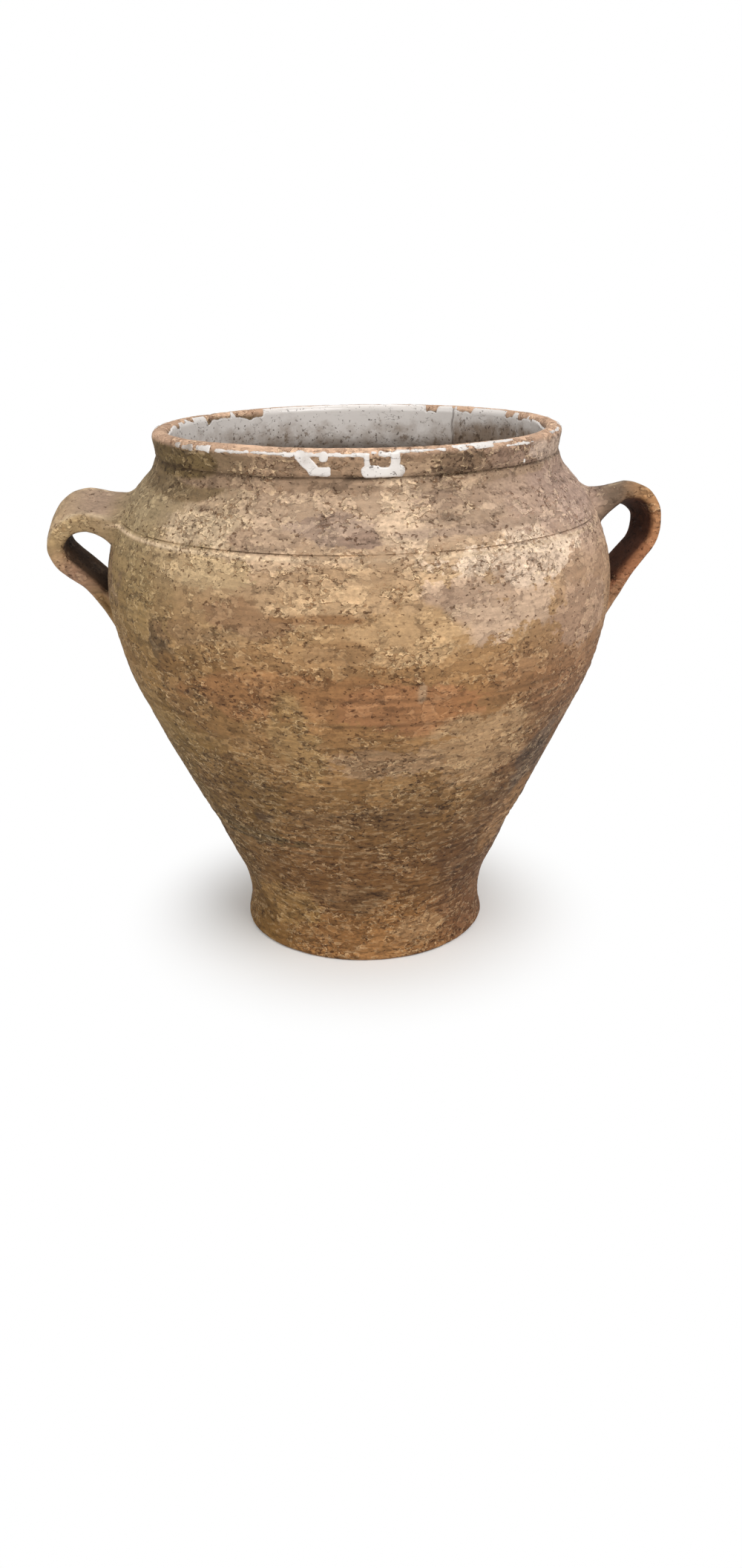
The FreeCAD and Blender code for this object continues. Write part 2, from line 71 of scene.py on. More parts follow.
def place_camera():
    data = bpy.data.cameras.new("camera")
    data.sensor_width = SENSOR_WIDTH
    data.lens = SENSOR_WIDTH * FOCAL_PIXELS / PHOTO_TALL
    camera = add_object("camera", data)
    turn = Matrix.Rotation(-JAR_TURN, 4, "Z")
    look = Matrix.Rotation(math.pi / 2 - CAMERA_PITCH, 4, "X")
    roll = Matrix.Rotation(-CAMERA_ROLL, 4, "Z")
    camera.matrix_world = Matrix.Translation(camera_spot) @ turn @ look @ roll
    bpy.context.scene.camera = camera


def smooth_step(low, high, value):
    share = np.clip((value - low) / (high - low), 0, 1)
    return share * share * (3 - 2 * share)


def bell(value, centre, half_width):
    return np.exp(-(((value - centre) / half_width) ** 2))


HASH_PRIMES = np.array([73856093, 19349663, 83492791])
SEED_PRIME, MIX_PRIME = 40503, 1274126177
CLOUD_LAYERS, CLOUD_RANGE = 4, 1.6


def grain(points, cell, seed):
    """Smooth noise from -1 to 1 at points in space, with lumps about one cell wide, in millimetres."""
    scaled = points / (cell * MM)
    base = np.floor(scaled).astype(np.int64)
    share = smooth_step(0, 1, scaled - base)
    total = np.zeros(points.shape[:-1])
    for corner in product((0, 1), repeat=3):
        code = np.bitwise_xor.reduce((base + corner) * HASH_PRIMES, axis=-1) ^ seed * SEED_PRIME
        code = ((code ^ (code >> 13)) * MIX_PRIME) & 0x7FFFFFFF
        worth = ((code ^ (code >> 15)) & 0xFFFF) / 32767.5 - 1
        weight = np.prod(np.where(np.array(corner) == 1, share, 1 - share), axis=-1)
        total += weight * worth
    return total


def cloudy(points, cell, seed):
    """Noise with finer layers on top, each half as large and half as strong."""
    total = np.zeros(points.shape[:-1])
    for layer in range(CLOUD_LAYERS):
        total += grain(points, cell / 2 ** layer, seed + layer) / 2 ** layer
    return total / CLOUD_RANGE


def lumps(points, sizes):
    """Lumps of several sizes together: how strong each is, its size and its seed."""
    return sum(strength * grain(points, cell, seed) for strength, cell, seed in sizes)


def front_angle(points):
    """Degrees round the jar from the side that faces the camera, positive to the right."""
    angle = np.arctan2(points[..., 1], points[..., 0]) - FRONT
    return np.degrees((angle + math.pi) % FULL_TURN - math.pi)


def linear(red, green, blue):
    """A colour read from 0 to 255, as the shader takes it."""
    shares = np.array([red, green, blue]) / 255
    return np.where(shares > 0.04045, ((shares + 0.055) / 1.055) ** 2.4, shares / 12.92)


def toward(layer, colour, share):
    """Colours moved by a share towards others."""
    return layer + share[..., None] * (colour - layer)


def linear_tones(tones, unit=1.0):
    """A list of places and colours, as the shader takes them."""
    return [(place * unit, linear(*colour)) for place, colour in tones]


def tone_between(tones, place):
    """The colour at some places, between those of a list of places and colours."""
    places, colours = zip(*tones)
    return np.stack([np.interp(place, places, band) for band in zip(*colours)], axis=-1)


# Profiles of the turned pieces, read from the CAD nodes at points that face outwards or inwards this much.
SIDE_FACING = 0.3


def wall_curve(nodes, side):
    """Heights and radii along the outside (side 1) or the inside (side -1) of turned nodes, low to high."""
    found = {}
    for node in nodes:
        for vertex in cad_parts[node].data.vertices:
            radius = math.hypot(vertex.co.x, vertex.co.y)
            if radius < MM:
                continue
            facing = (vertex.normal.x * vertex.co.x + vertex.normal.y * vertex.co.y) / radius
            if side * facing > SIDE_FACING:
                found.setdefault(round(vertex.co.z, 5), []).append(radius)
    heights = sorted(found)
    pick = max if side > 0 else min
    return np.array(heights), np.array([pick(found[height]) for height in heights])


WALL_NODES = ["foot_section", "lower_wall", "shoulder_section"]
OUTSIDE = wall_curve(WALL_NODES, 1)
INSIDE = wall_curve(WALL_NODES, -1)
COLLAR = wall_curve(["rim_collar"], 1)
FOOT_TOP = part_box("foot_section")[1].z
LINE_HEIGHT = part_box("lower_wall")[1].z
NECK_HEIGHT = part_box("shoulder_section")[1].z
JAR_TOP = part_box("rim_collar")[1].z
FLOOR_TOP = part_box("glaze_lining")[0].z
MOUTH_RADIUS = wall_curve(["rim_collar"], -1)[1].min()
LIP_ROUND = 5.0 * MM
GLAZE = 0.9 * MM


def outside_radius(height):
    return np.interp(height, *OUTSIDE)


def inside_radius(height):
    return np.interp(height, *INSIDE)


COLLAR_FOOT_RADIUS = COLLAR[1][0]
LIP_LEVEL = JAR_TOP - LIP_ROUND
COLLAR_TILT = math.atan2(np.interp(LIP_LEVEL, *COLLAR) - COLLAR_FOOT_RADIUS, LIP_LEVEL - COLLAR[0][0])
OUTER_CENTRE = np.interp(LIP_LEVEL, *COLLAR) - LIP_ROUND / math.cos(COLLAR_TILT)
INNER_CENTRE = MOUTH_RADIUS + LIP_ROUND
LIP_FLAT = OUTER_CENTRE - INNER_CENTRE
OUTER_ARC = LIP_ROUND * (math.pi / 2 + COLLAR_TILT)
INNER_ARC = LIP_ROUND * math.pi / 2
COLLAR_END = OUTER_ARC + (LIP_LEVEL - LIP_ROUND * math.sin(COLLAR_TILT) - NECK_HEIGHT) / math.cos(COLLAR_TILT)


def lip_profile(along, lift=0.0):
    """Radius and height at a distance along the lip: 0 where the outer rounding starts, positive down
    the outside of the collar, negative over the flat top and down the inside; lift stands off the clay."""
    along = np.asarray(along, float)
    over = np.clip(along, 0, OUTER_ARC) / LIP_ROUND
    under = np.clip(-along - LIP_FLAT, 0, INNER_ARC) / LIP_ROUND
    outer_fall = np.maximum(along - OUTER_ARC, 0)
    inner_fall = np.maximum(-along - LIP_FLAT - INNER_ARC, 0)
    flat = np.clip(-along, 0, LIP_FLAT)
    reach = LIP_ROUND + lift
    outer = OUTER_CENTRE + reach * np.sin(over) - outer_fall * math.sin(COLLAR_TILT)
    inner = OUTER_CENTRE - flat - reach * np.sin(under)
    outer_height = LIP_LEVEL + reach * np.cos(over) - outer_fall * math.cos(COLLAR_TILT)
    inner_height = LIP_LEVEL + reach * np.cos(under) - inner_fall
    return np.where(along >= 0, outer, inner), np.where(along >= 0, outer_height, inner_height)


LIP_RISE, RISE_REACH = 1.3 * MM, 9 * MM
RISE_ANGLE, RISE_HALF_ANGLE = -34, 36


def lip_rise(along, angle):
    """The lip stands a little higher at the front left."""
    spots = front_angle(turned_points(np.ones_like(angle), 0 * angle, angle))
    return LIP_RISE * bell(spots, RISE_ANGLE, RISE_HALF_ANGLE) * bell(along, 0, RISE_REACH)


def wobble(angle):
    """How far the hand-thrown wall is from round."""
    return (0.5 * np.cos(2 * angle + 0.7) + 0.25 * np.cos(3 * angle + 2.0)) * MM


# The mesh of each piece, with the marks that the shader reads at its points.
SHARP_ANGLE = math.radians(55)


def new_piece(name, node, slot, points, faces, marks):
    """A piece that stands for a CAD node; marks are numbers or colours for each of its points."""
    mesh = bpy.data.meshes.new(name)
    mesh.from_pydata(points.tolist(), [], faces)
    mesh.validate()
    mesh.polygons.foreach_set("use_smooth", [True] * len(mesh.polygons))
    mesh.set_sharp_from_angle(angle=SHARP_ANGLE)
    piece = add_object(name, mesh)
    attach(piece, "root")
    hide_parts(node)
    for mark_name, values in marks.items():
        mark(piece, mark_name, values)
    mesh.materials.append(MATERIALS[slot])


def mark(piece, name, values):
    """Keep one number or one colour for each point of a piece, for its shader."""
    values = np.asarray(values, float)
    if values.ndim == 1:
        piece.data.attributes.new(name, "FLOAT", "POINT").data.foreach_set("value", values)
    else:
        filled = np.ones((len(values), 4))
        filled[:, :3] = values
        layer = piece.data.attributes.new(name, "FLOAT_COLOR", "POINT")
        layer.data.foreach_set("color", filled.ravel())


def ring_faces(rows, columns, closed):
    """Quads between rings of points; the last ring joins the first if the profile is closed."""
    faces = []
    for row in range(rows if closed else rows - 1):
        low, high = row * columns, (row + 1) % rows * columns
        for column in range(columns):
            after = (column + 1) % columns
            faces.append((low + column, low + after, high + after, high + column))
    return faces


def cap_faces(columns, ring, pole, upward):
    """A fan of triangles from a ring to its pole."""
    pairs = [(ring + column, ring + (column + 1) % columns) for column in range(columns)]
    return [(pole, low, high) if upward else (pole, high, low) for low, high in pairs]


def capped_faces(rows, columns):
    """Quads between rings of points, closed by a pole under the first ring and one over the last."""
    pole = rows * columns
    faces = ring_faces(rows, columns, False) + cap_faces(columns, 0, pole, False)
    return faces + cap_faces(columns, pole - columns, pole + 1, True)


def even_angles(count):
    return np.arange(count) * FULL_TURN / count


def turned_points(radius, height, angle):
    return np.stack([radius * np.cos(angle), radius * np.sin(angle), height + 0 * radius], axis=-1)


def disc_rings(shares, radius, height, angle):
    """Level rings of points at some shares of a radius."""
    return np.array([turned_points(np.full(len(angle), share * radius), height, angle) for share in shares])


def inner_rings(heights, angle, outward=0.0):
    """Rings of points round the inside of the wall, moved outwards or, if negative, inwards."""
    radius = inside_radius(heights)[:, None] + outward + wobble(angle)
    return turned_points(radius, heights[:, None], angle)


# Relief of the clay: throwing ridges, flaked patches, a worn incised line and lumps, of which the list says
# how strong they are in millimetres, their size and their seed.
WALL_LUMPS = [(0.7, 55, 21), (0.3, 20, 22), (0.16, 8, 23)]
LINE_REACH = 4 * MM


def ridge_strength(height):
    """How strong the throwing ridges are; they are deepest just above the waist."""
    return 0.08 + 0.55 * bell(height, 114 * MM, 16 * MM) + 0.22 * bell(height, 242 * MM, 32 * MM)


def ridges(points):
    """The throwing spiral, from -1 in its furrows to 1 on its crests."""
    height = points[..., 2]
    turns = np.arctan2(points[..., 1], points[..., 0]) / FULL_TURN
    sway = 0.35 * grain(points, 70, 12)
    close = np.sin(FULL_TURN * (height / (6.5 * MM) + turns + sway))
    wide = np.sin(FULL_TURN * (height / (10.7 * MM) + 2 * turns + 0.3 - sway))
    return (close + 0.6 * wide) / 1.6 * (0.7 + 0.6 * grain(points, 60, 11))


def hollows(height):
    """How far the wall is drawn in, under the belly and over the waist."""
    return (1.7 * bell(height, 255 * MM, 26 * MM) + 2.0 * bell(height, 104 * MM, 16 * MM)) * MM


def thrown_relief(points):
    """How far the clay stands off the smooth profile, in metres."""
    height = points[..., 2]
    relief = 1.6 * ridge_strength(height) * ridges(points) + lumps(points, WALL_LUMPS)
    relief -= 0.25 * smooth_step(0.0, 0.12, cloudy(points, 16, 31))
    relief += 0.6 * line_wear(points) * bell(height, LINE_HEIGHT - 3.4 * MM, 1.5 * MM)
    relief -= 1.2 * bell(height, NECK_HEIGHT, 3 * MM)
    return relief * MM - hollows(height)


def line_wear(points):
    """Where the edge under the incised line stands proud: most of all on the left."""
    around = front_angle(points)
    strong = 0.55 + 0.35 * smooth_step(-15, -45, around) - 0.3 * smooth_step(20, 45, around)
    return np.clip(strong + 0.4 * grain(points, 30, 41), 0, 1)


def line_fill(points):
    """How much of the incised line is filled with slip, place by place."""
    return 0.55 * smooth_step(-0.1, 0.35, cloudy(points, 26, 42))


def wall_points(heights, angle):
    """Points of the worn outside wall at some heights, a ring for each; slip bridges the incised line."""
    smooth = outside_radius(heights)
    radius = smooth[:, None] + wobble(angle)
    points = turned_points(radius, heights[:, None], angle)
    ends = [LINE_HEIGHT - LINE_REACH, LINE_HEIGHT + LINE_REACH]
    bridge = np.interp(heights, ends, outside_radius(ends))
    sunk = np.where(np.abs(heights - LINE_HEIGHT) < LINE_REACH, np.maximum(bridge - smooth, 0), 0)
    radius = radius + thrown_relief(points) + sunk[:, None] * line_fill(points)
    return turned_points(radius, heights[:, None], angle)


# Colour of the clay by place; the darker tones low down hold painted shade as well as the clay's own colour.
# The front, from the foot to the lip: height and colour.
FRONT_TONES = [
    (0, (154, 110, 66)), (50, (133, 94, 54)), (95, (122, 86, 50)), (150, (130, 96, 57)),
    (205, (148, 112, 71)), (255, (154, 114, 73)), (300, (164, 130, 91)), (335, (179, 148, 114)),
    (368, (186, 159, 133)), (390, (178, 152, 127)), (402, (150, 124, 100)), (420, (142, 116, 92)),
]
CLAY_TONES = linear_tones(FRONT_TONES, MM)
# How much darker or greyer the two flanks are than the front: side, low down and high up.
FLANKS = [(-1, (0.84, 0.87, 0.78), (0.86, 0.88, 0.81)), (1, (0.84, 0.82, 0.90), (0.96, 0.955, 1.02))]
DISPLAY_GAMMA = 2.2
# Patches of slip, bare clay and dirt: degrees from the front, height, half sizes, colour, flakes, dirt.
PATCHES = [
    (-58, 393, 26, 11, (122, 101, 72), -0.2, 0.3),
    (-20, 397, 30, 6, (156, 130, 106), -0.2, 0.3),
    (30, 398, 30, 4, (164, 138, 114), -0.2, 0.3),
    (-38, 366, 12, 12, (194, 170, 140), 0.5, 0.2),
    (-5, 370, 11, 9, (160, 136, 118), -0.2, 0.3),
    (2, 364, 5, 5, (146, 122, 106), -0.4, 0.3),
    (10, 376, 5, 22, (200, 173, 145), 0.5, 0.0),
    (30, 367, 18, 4, (164, 140, 120), -0.4, 0.3),
    (24, 386, 10, 6, (158, 133, 112), -0.3, 0.3),
    (36, 346, 20, 15, (220, 196, 172), 0.4, 0.1),
    (-35, 340, 12, 12, (184, 157, 120), 0.3, 0.1),
    (-21, 314, 11, 13, (148, 115, 84), -0.2, 0.2),
    (27, 318, 20, 22, (188, 160, 136), 0.2, 0.1),
    (20, 326, 7, 8, (174, 147, 125), -0.3, 0.2),
    (8, 300, 12, 20, (188, 154, 114), 0.2, 0.1),
    (-5, 326, 14, 12, (186, 154, 118), 0.3, 0.1),
    (55, 298, 12, 22, (170, 139, 115), 0.1, 0.1),
    (-46, 282, 3.5, 20, (104, 82, 56), -0.4, 0.5),
    (-30, 248, 20, 30, (134, 101, 62), -0.1, 0.3),
    (-12, 256, 24, 18, (152, 110, 71), -0.3, 0.2),
    (13, 246, 15, 20, (158, 112, 75), -0.3, 0.2),
    (22, 240, 6, 14, (166, 117, 77), -0.3, 0.1),
    (12.5, 260, 0.8, 7, (170, 138, 108), 0.3, 0.0),
    (-8, 314, 9, 3, (150, 112, 76), -0.4, 0.2),
    (30, 206, 15, 30, (167, 134, 98), 0.4, 0.2),
    (5, 200, 14, 14, (152, 121, 90), 0.2, 0.2),
    (-15, 215, 6, 34, (150, 118, 76), 0.5, 0.3),
    (-38, 164, 16, 26, (124, 94, 55), -0.1, 0.5),
    (-32, 139, 4, 5, (88, 66, 44), -0.5, 0.6),
    (2, 146, 22, 11, (120, 89, 56), -0.2, 0.5),
    (55, 168, 9, 42, (104, 82, 64), -0.3, 0.4),
    (-44, 118, 20, 10, (108, 85, 52), 0.2, 0.3),
    (42, 92, 14, 20, (106, 74, 46), -0.2, 0.3),
    (-38, 44, 16, 18, (146, 112, 66), 0.1, 0.2),
    (-5, 60, 14, 16, (120, 88, 55), -0.1, 0.4),
    (27, 24, 12, 14, (166, 128, 88), 0.3, 0.2),
    (-20, 362, 9, 7, (164, 138, 114), -0.3, 0.3),
    (-5, 342, 14, 5, (168, 138, 106), -0.2, 0.2),
    (-35, 296, 10, 9, (150, 119, 84), -0.2, 0.2),
    (-5, 292, 7, 8, (150, 116, 80), -0.2, 0.3),
    (24, 374, 10, 5, (168, 143, 120), -0.2, 0.3),
    (40, 336, 8, 9, (206, 182, 160), 0.3, 0.1),
    (10, 176, 8, 10, (146, 112, 72), 0.3, 0.2),
    (58, 120, 10, 30, (150, 112, 74), 0.2, 0.2),
    (70, 409, 18, 9, (178, 156, 140), 0.1, 0.1),
    (27, 409, 9, 8, (108, 86, 66), -0.2, 0.5),
    (-58, 407, 18, 10, (112, 92, 58), -0.2, 0.5),
]
# Stretches where the slip or the clay is whole: degrees from the front, height, half sizes.
CALM = [(42, 316, 30, 30), (12, 246, 18, 18), (-32, 322, 14, 22), (30, 214, 16, 18)]
LIP_COLOUR = linear(198, 164, 138)
# The colour of the painted shadow under the collar.
COLLAR_SHADE = linear(84, 64, 46)
LINE_COLOUR = linear(214, 188, 156)
FAR_PATCHES = 44


def far_patches():
    """Patches on the sides that the photograph doesn't show, of the same kind."""
    chance = np.random.default_rng(5)
    patches = []
    for _ in range(FAR_PATCHES):
        height = chance.uniform(15, 398)
        colour = tuple(tone_between(FRONT_TONES, height) * chance.uniform(0.80, 1.10))
        patches.append((
            chance.uniform(85, 275), height, chance.uniform(5, 20), chance.uniform(6, 26), colour,
            chance.uniform(-0.3, 0.4), chance.uniform(0.1, 0.4),
        ))
    return patches


ALL_PATCHES = PATCHES + far_patches()


def clay_ground(points, around, height):
    """The colour of the front by height, with painted shade low down, and of its flanks, before the patches.
    """
    drift = 12 * MM * cloudy(points, 40, 52) * smooth_step(395 * MM, 370 * MM, height)
    ground = tone_between(CLAY_TONES, np.clip(height + drift, 0, None))
    high = smooth_step(200 * MM, 300 * MM, height)
    edge = 14 * cloudy(points, 30, 53)
    behind = 0.5 * smooth_step(100, 180, np.abs(around))
    for turn, low_tone, high_tone in FLANKS:
        tone = toward(np.array(low_tone), np.array(high_tone), high) ** DISPLAY_GAMMA
        flank = smooth_step(18, 58, turn * around + edge) * (1 - behind)
        share = np.where(turn * around > 0, flank, behind)
        ground *= 1 + share[..., None] * (tone - 1)
    return ground


def paint_clay(points):
    """Marks for the clay shader: the ground, the patch that lies on it, its cover, flakes, dirt and calm."""
    around = front_angle(points)
    height = points[..., 2]
    ground = clay_ground(points, around, height)
    patch = ground
    cover, flakes, calm = np.zeros((3, *points.shape[:-1]))
    dirt_and_shade = np.full_like(cover, 0.1)
    ragged = 0.35 * cloudy(points, 26, 51)

    def off_centre(angle, level, half_angle, half_height):
        across = ((around - angle + 180) % 360 - 180) / half_angle
        return np.hypot(across, (height / MM - level) / half_height) + ragged

    for *spot, colour, flaking, dirtying in ALL_PATCHES:
        here = smooth_step(1.6, 0.4, off_centre(*spot))
        patch = toward(patch, linear(*colour), smooth_step(0.15, 0.5, here))
        cover = np.maximum(cover, here)
        flakes += here * flaking
        dirt_and_shade += here * dirtying
    for spot in CALM:
        calm = np.maximum(calm, smooth_step(1.3, 0.5, off_centre(*spot)))
    # Painted highlight on the crests of the throwing ridges and painted shade in their furrows, over random
    # tone.
    spiral = np.clip(ridges(points), -1, 1)
    ridge_shading = ridge_strength(height) * (0.5 * spiral - 0.5 * smooth_step(-0.45, -0.85, spiral))
    shade = 1 + 0.10 * cloudy(points, 11, 56) + ridge_shading
    pale_line = line_wear(points) * bell(height, LINE_HEIGHT - 2.9 * MM, 1.4 * MM)
    # Painted shadow under the collar's lower edge.
    collar_shadow = 0.55 + 0.45 * cloudy(points, 14, 57)
    collar_shadow *= bell(height, NECK_HEIGHT - 0.8 * MM, 1.8 * MM)
    lip = 0.9 * smooth_step(LIP_LEVEL - MM, JAR_TOP - 1.5 * MM, height + 3 * MM * ragged)

    # Lays on the painted ridge shading, the pale line, the painted shadow under the collar and the lip's
    # colour.
    def shaded_and_weathered(layer):
        layer = toward(layer * shade[..., None], LINE_COLOUR, pale_line)
        return toward(toward(layer, COLLAR_SHADE, collar_shadow), LIP_COLOUR, lip)

    return {
        "ground": shaded_and_weathered(ground), "patch": shaded_and_weathered(patch), "cover": cover, "flakes": flakes,
        "dirt_and_shade": dirt_and_shade * (1 - 0.6 * lip), "calm": calm,
    }


# Shader graphs. The colour sockets of a mix node go by these numbers.
MIX_FIRST, MIX_SECOND, MIX_RESULT = 6, 7, 2


class Graph:
    """The nodes of a material or a world, added and joined by short calls; noise is sized in millimetres."""

    def __init__(self, owner, output="OutputMaterial"):
        owner.use_nodes = True
        self.tree = owner.node_tree
        self.tree.nodes.clear()
        self.output = self.node(output)

    def join(self, value, socket):
        if isinstance(value, bpy.types.NodeSocket):
            self.tree.links.new(value, socket)
        elif socket.type == "RGBA":
            socket.default_value = (*value, 1)
        else:
            socket.default_value = value

    def node(self, kind, inputs=(), **settings):
        """A new node, with inputs by name or number, each a value or another node's output."""
        node = self.tree.nodes.new("ShaderNode" + kind)
        for name, value in settings.items():
            setattr(node, name, value)
        for key, value in dict(inputs).items():
            self.join(value, node.inputs[key])
        return node

    def reckon(self, kind, *values):
        return self.node("Math", enumerate(values), operation=kind).outputs[0]

    plus = partialmethod(reckon, "ADD")
    minus = partialmethod(reckon, "SUBTRACT")
    times = partialmethod(reckon, "MULTIPLY")
    larger = partialmethod(reckon, "MAXIMUM")
    # A value, what it is scaled by, and what is added.
    fit = partialmethod(reckon, "MULTIPLY_ADD")

    def step(self, value, low, high):
        """0 below low, 1 above high, smooth between them."""
        inputs = {"Value": value, "From Min": low, "From Max": high}
        return self.node("MapRange", inputs, interpolation_type="SMOOTHSTEP").outputs["Result"]

    def place(self):
        return self.node("TexCoord").outputs["Object"]

    def stretch(self, place, scale):
        return self.node("VectorMath", {0: place, 1: scale}, operation="MULTIPLY").outputs["Vector"]

    def noise(self, place, cell, detail=4.0, rough=0.6, output="Fac"):
        inputs = {"Vector": place, "Scale": 1 / (cell * MM), "Detail": detail, "Roughness": rough}
        return self.node("TexNoise", inputs).outputs[output]

    def warp(self, place, cell, amount):
        """A place pushed about by noise, so that what is drawn there is ragged."""
        inputs = {0: self.noise(place, cell, 3, 0.5, "Color"), 1: (amount * MM,) * 3, 2: place}
        return self.node("VectorMath", inputs, operation="MULTIPLY_ADD").outputs["Vector"]

    def hairline(self, place, cell, width, detail):
        """Thin winding lines: where a noise crosses its middle value."""
        level = self.reckon("ABSOLUTE", self.minus(self.noise(place, cell, detail), 0.5))
        return self.minus(1.0, self.step(level, 0.0, width))

    def mix(self, share, first, second, kind="MIX"):
        inputs = {0: share, MIX_FIRST: first, MIX_SECOND: second}
        return self.node("Mix", inputs, data_type="RGBA", blend_type=kind).outputs[MIX_RESULT]

    def tinted(self, share, colour, tint):
        """A colour multiplied by a tint, by a share."""
        return self.mix(share, colour, self.mix(1.0, colour, tint, "MULTIPLY"))

    def mark(self, name, kind="Fac"):
        return self.node("Attribute", attribute_name=name).outputs[kind]

    def bump(self, height, distance, strength=1.0):
        inputs = {"Height": height, "Distance": distance, "Strength": strength}
        return self.node("Bump", inputs).outputs["Normal"]

    def show(self, shader):
        self.join(shader.outputs[0], self.output.inputs["Surface"])

    def show_both(self, share, first, second):
        self.show(self.node("MixShader", {0: share, 1: first.outputs[0], 2: second.outputs[0]}))


CREAM = linear(222, 194, 152)
SOOT = linear(58, 42, 29)
# Tints of the clay: bare, under slip, painted highlight and painted shadow along the slip's edges, in dashes,
# under grime and in pits.
BARE_TINT, SLIP_TINT = (0.865, 0.85, 0.835), (1.16, 1.175, 1.185)
EDGE_HIGHLIGHT_TINT, EDGE_SHADOW_TINT = (1.22, 1.22, 1.22), (0.54, 0.45, 0.38)
DASH_TINT, GRIME_TINT, PIT_TINT = (0.62, 0.61, 0.60), (0.66, 0.64, 0.63), (0.44, 0.37, 0.32)


def broken_share(graph, place):
    """How broken the surface is, from calm to flaked."""
    turned = graph.stretch(place, (-1.0, -1.0, 1.4))
    broken = graph.noise(graph.warp(turned, 18, 14), 32, 6, 0.62)
    broken = graph.fit(graph.mark("calm"), -0.13, broken)
    return graph.step(graph.fit(graph.mark("flakes"), 0.10, broken), 0.40, 0.60)


def patched_colour(graph, flat):
    """The ground, with patches that have torn edges."""
    torn = graph.fit(graph.noise(graph.warp(flat, 12, 8), 14, 8, 0.7), 3.2, -1.6)
    cover = graph.step(graph.plus(graph.mark("cover"), torn), 0.42, 0.56)
    return graph.mix(graph.times(cover, 0.9), graph.mark("ground", "Color"), graph.mark("patch", "Color"))


def clay_material():
    """Fired clay under a worn tan slip: calm stretches, and others broken up by flakes, pits and grime."""
    material = bpy.data.materials.new("worn_clay")
    graph = Graph(material)
    place = graph.place()
    flat = graph.stretch(place, (1.0, 1.0, 1.5))
    region = graph.noise(graph.warp(flat, 20, 14), 30, 7, 0.62)
    cell = graph.noise(graph.warp(flat, 7, 5), 10, 3, 0.55)
    speck = graph.noise(flat, 3.2, 2.5, 0.6)
    other_speck = graph.noise(graph.stretch(place, (-1.0, 1.0, -1.5)), 3.8, 1, 0.5)
    streaks = graph.noise(graph.stretch(place, (0.07, 0.07, 1.0)), 4.0, 4, 0.65)
    dashes = graph.noise(graph.stretch(place, (0.33, 0.33, 1.0)), 3.2, 3, 0.6)
    dirt_and_shade = graph.mark("dirt_and_shade")
    broken = broken_share(graph, place)
    colour = graph.mix(1.0, patched_colour(graph, flat), BARE_TINT, "MULTIPLY")

    # Slip that is left lies a little lighter on the bare clay, whole where it is calm.
    fine = graph.times(graph.minus(cell, 0.5), graph.fit(broken, 1.1, 0.2))
    level = graph.plus(graph.fit(graph.mark("flakes"), 0.10, region), fine)
    slip = graph.step(level, 0.495, 0.525)
    colour = graph.tinted(slip, colour, SLIP_TINT)

    # Where the slip ends it has a painted highlight on its edge, with a painted shadow along the foot of it,
    # in short lengths.
    wear_and_edge_light = graph.fit(broken, 0.85, 0.15)

    def slip_edge(start, end, lengths):
        band = graph.minus(graph.step(level, *start), graph.step(level, *end))
        return graph.times(graph.times(lengths, band), wear_and_edge_light)

    slip_edge_highlight = slip_edge((0.51, 0.53), (0.56, 0.61), graph.step(other_speck, 0.42, 0.54))
    slip_edge_shadow = slip_edge((0.42, 0.46), (0.49, 0.51), graph.step(speck, 0.44, 0.56))
    colour = graph.tinted(slip_edge_highlight, colour, EDGE_HIGHLIGHT_TINT)
    colour = graph.mix(graph.times(slip_edge_highlight, 0.35), colour, CREAM)
    colour = graph.tinted(slip_edge_shadow, colour, EDGE_SHADOW_TINT)

    # Low down the wheel drew the grit out into dashes.
    low = graph.step(graph.node("SeparateXYZ", {0: place}).outputs["Z"], 0.27, 0.15)
    pale_dash = graph.times(graph.step(dashes, 0.55, 0.66), low)
    dark_dash = graph.times(graph.step(dashes, 0.46, 0.36), low)
    colour = graph.mix(graph.times(pale_dash, 0.2), colour, CREAM)
    colour = graph.tinted(dark_dash, colour, DASH_TINT)

    # Specks, stronger where the surface is broken, and level streaks.
    shade = graph.fit(graph.minus(speck, 0.5), graph.plus(broken, 0.85), 1.0)
    shade = graph.times(shade, graph.fit(streaks, 0.9, 0.55))
    grey = graph.node("CombineColor", {0: shade, 1: shade, 2: shade}).outputs[0]
    colour = graph.mix(1.0, colour, grey, "MULTIPLY")

    # Grime in broken blotches and small deep pits.
    blotch = graph.noise(graph.warp(flat, 9, 8), 12, 6, 0.7)
    grime = graph.step(graph.fit(dirt_and_shade, 0.12, blotch), 0.58, 0.64)
    colour = graph.tinted(grime, colour, GRIME_TINT)
    pit_noise = graph.noise(graph.warp(flat, 4, 3), 3.8, 2, 0.5)
    pits = graph.step(graph.fit(broken, 0.05, graph.fit(dirt_and_shade, 0.08, pit_noise)), 0.67, 0.73)
    colour = graph.tinted(pits, colour, PIT_TINT)

    height = graph.times(speck, 0.6)
    dash = graph.minus(pale_dash, dark_dash)
    for layer, rise in (
        (slip, 0.6), (pits, -0.9), (streaks, 0.8), (slip_edge_highlight, 0.7), (slip_edge_shadow, -0.7), (dash, 0.4),
    ):
        height = graph.fit(layer, rise, height)
    graph.show(graph.node("BsdfPrincipled", {
        "Base Color": colour, "Roughness": graph.fit(slip, -0.10, 0.9), "Specular IOR Level": 0.3,
        "Normal": graph.bump(height, 0.6 * MM),
    }))
    return material


GLAZE_WHITE = linear(214, 208, 203)
GLAZE_STAIN_AND_SHADE = linear(112, 88, 62)
MOTTLE_STAIN = GLAZE_STAIN_AND_SHADE * 0.75


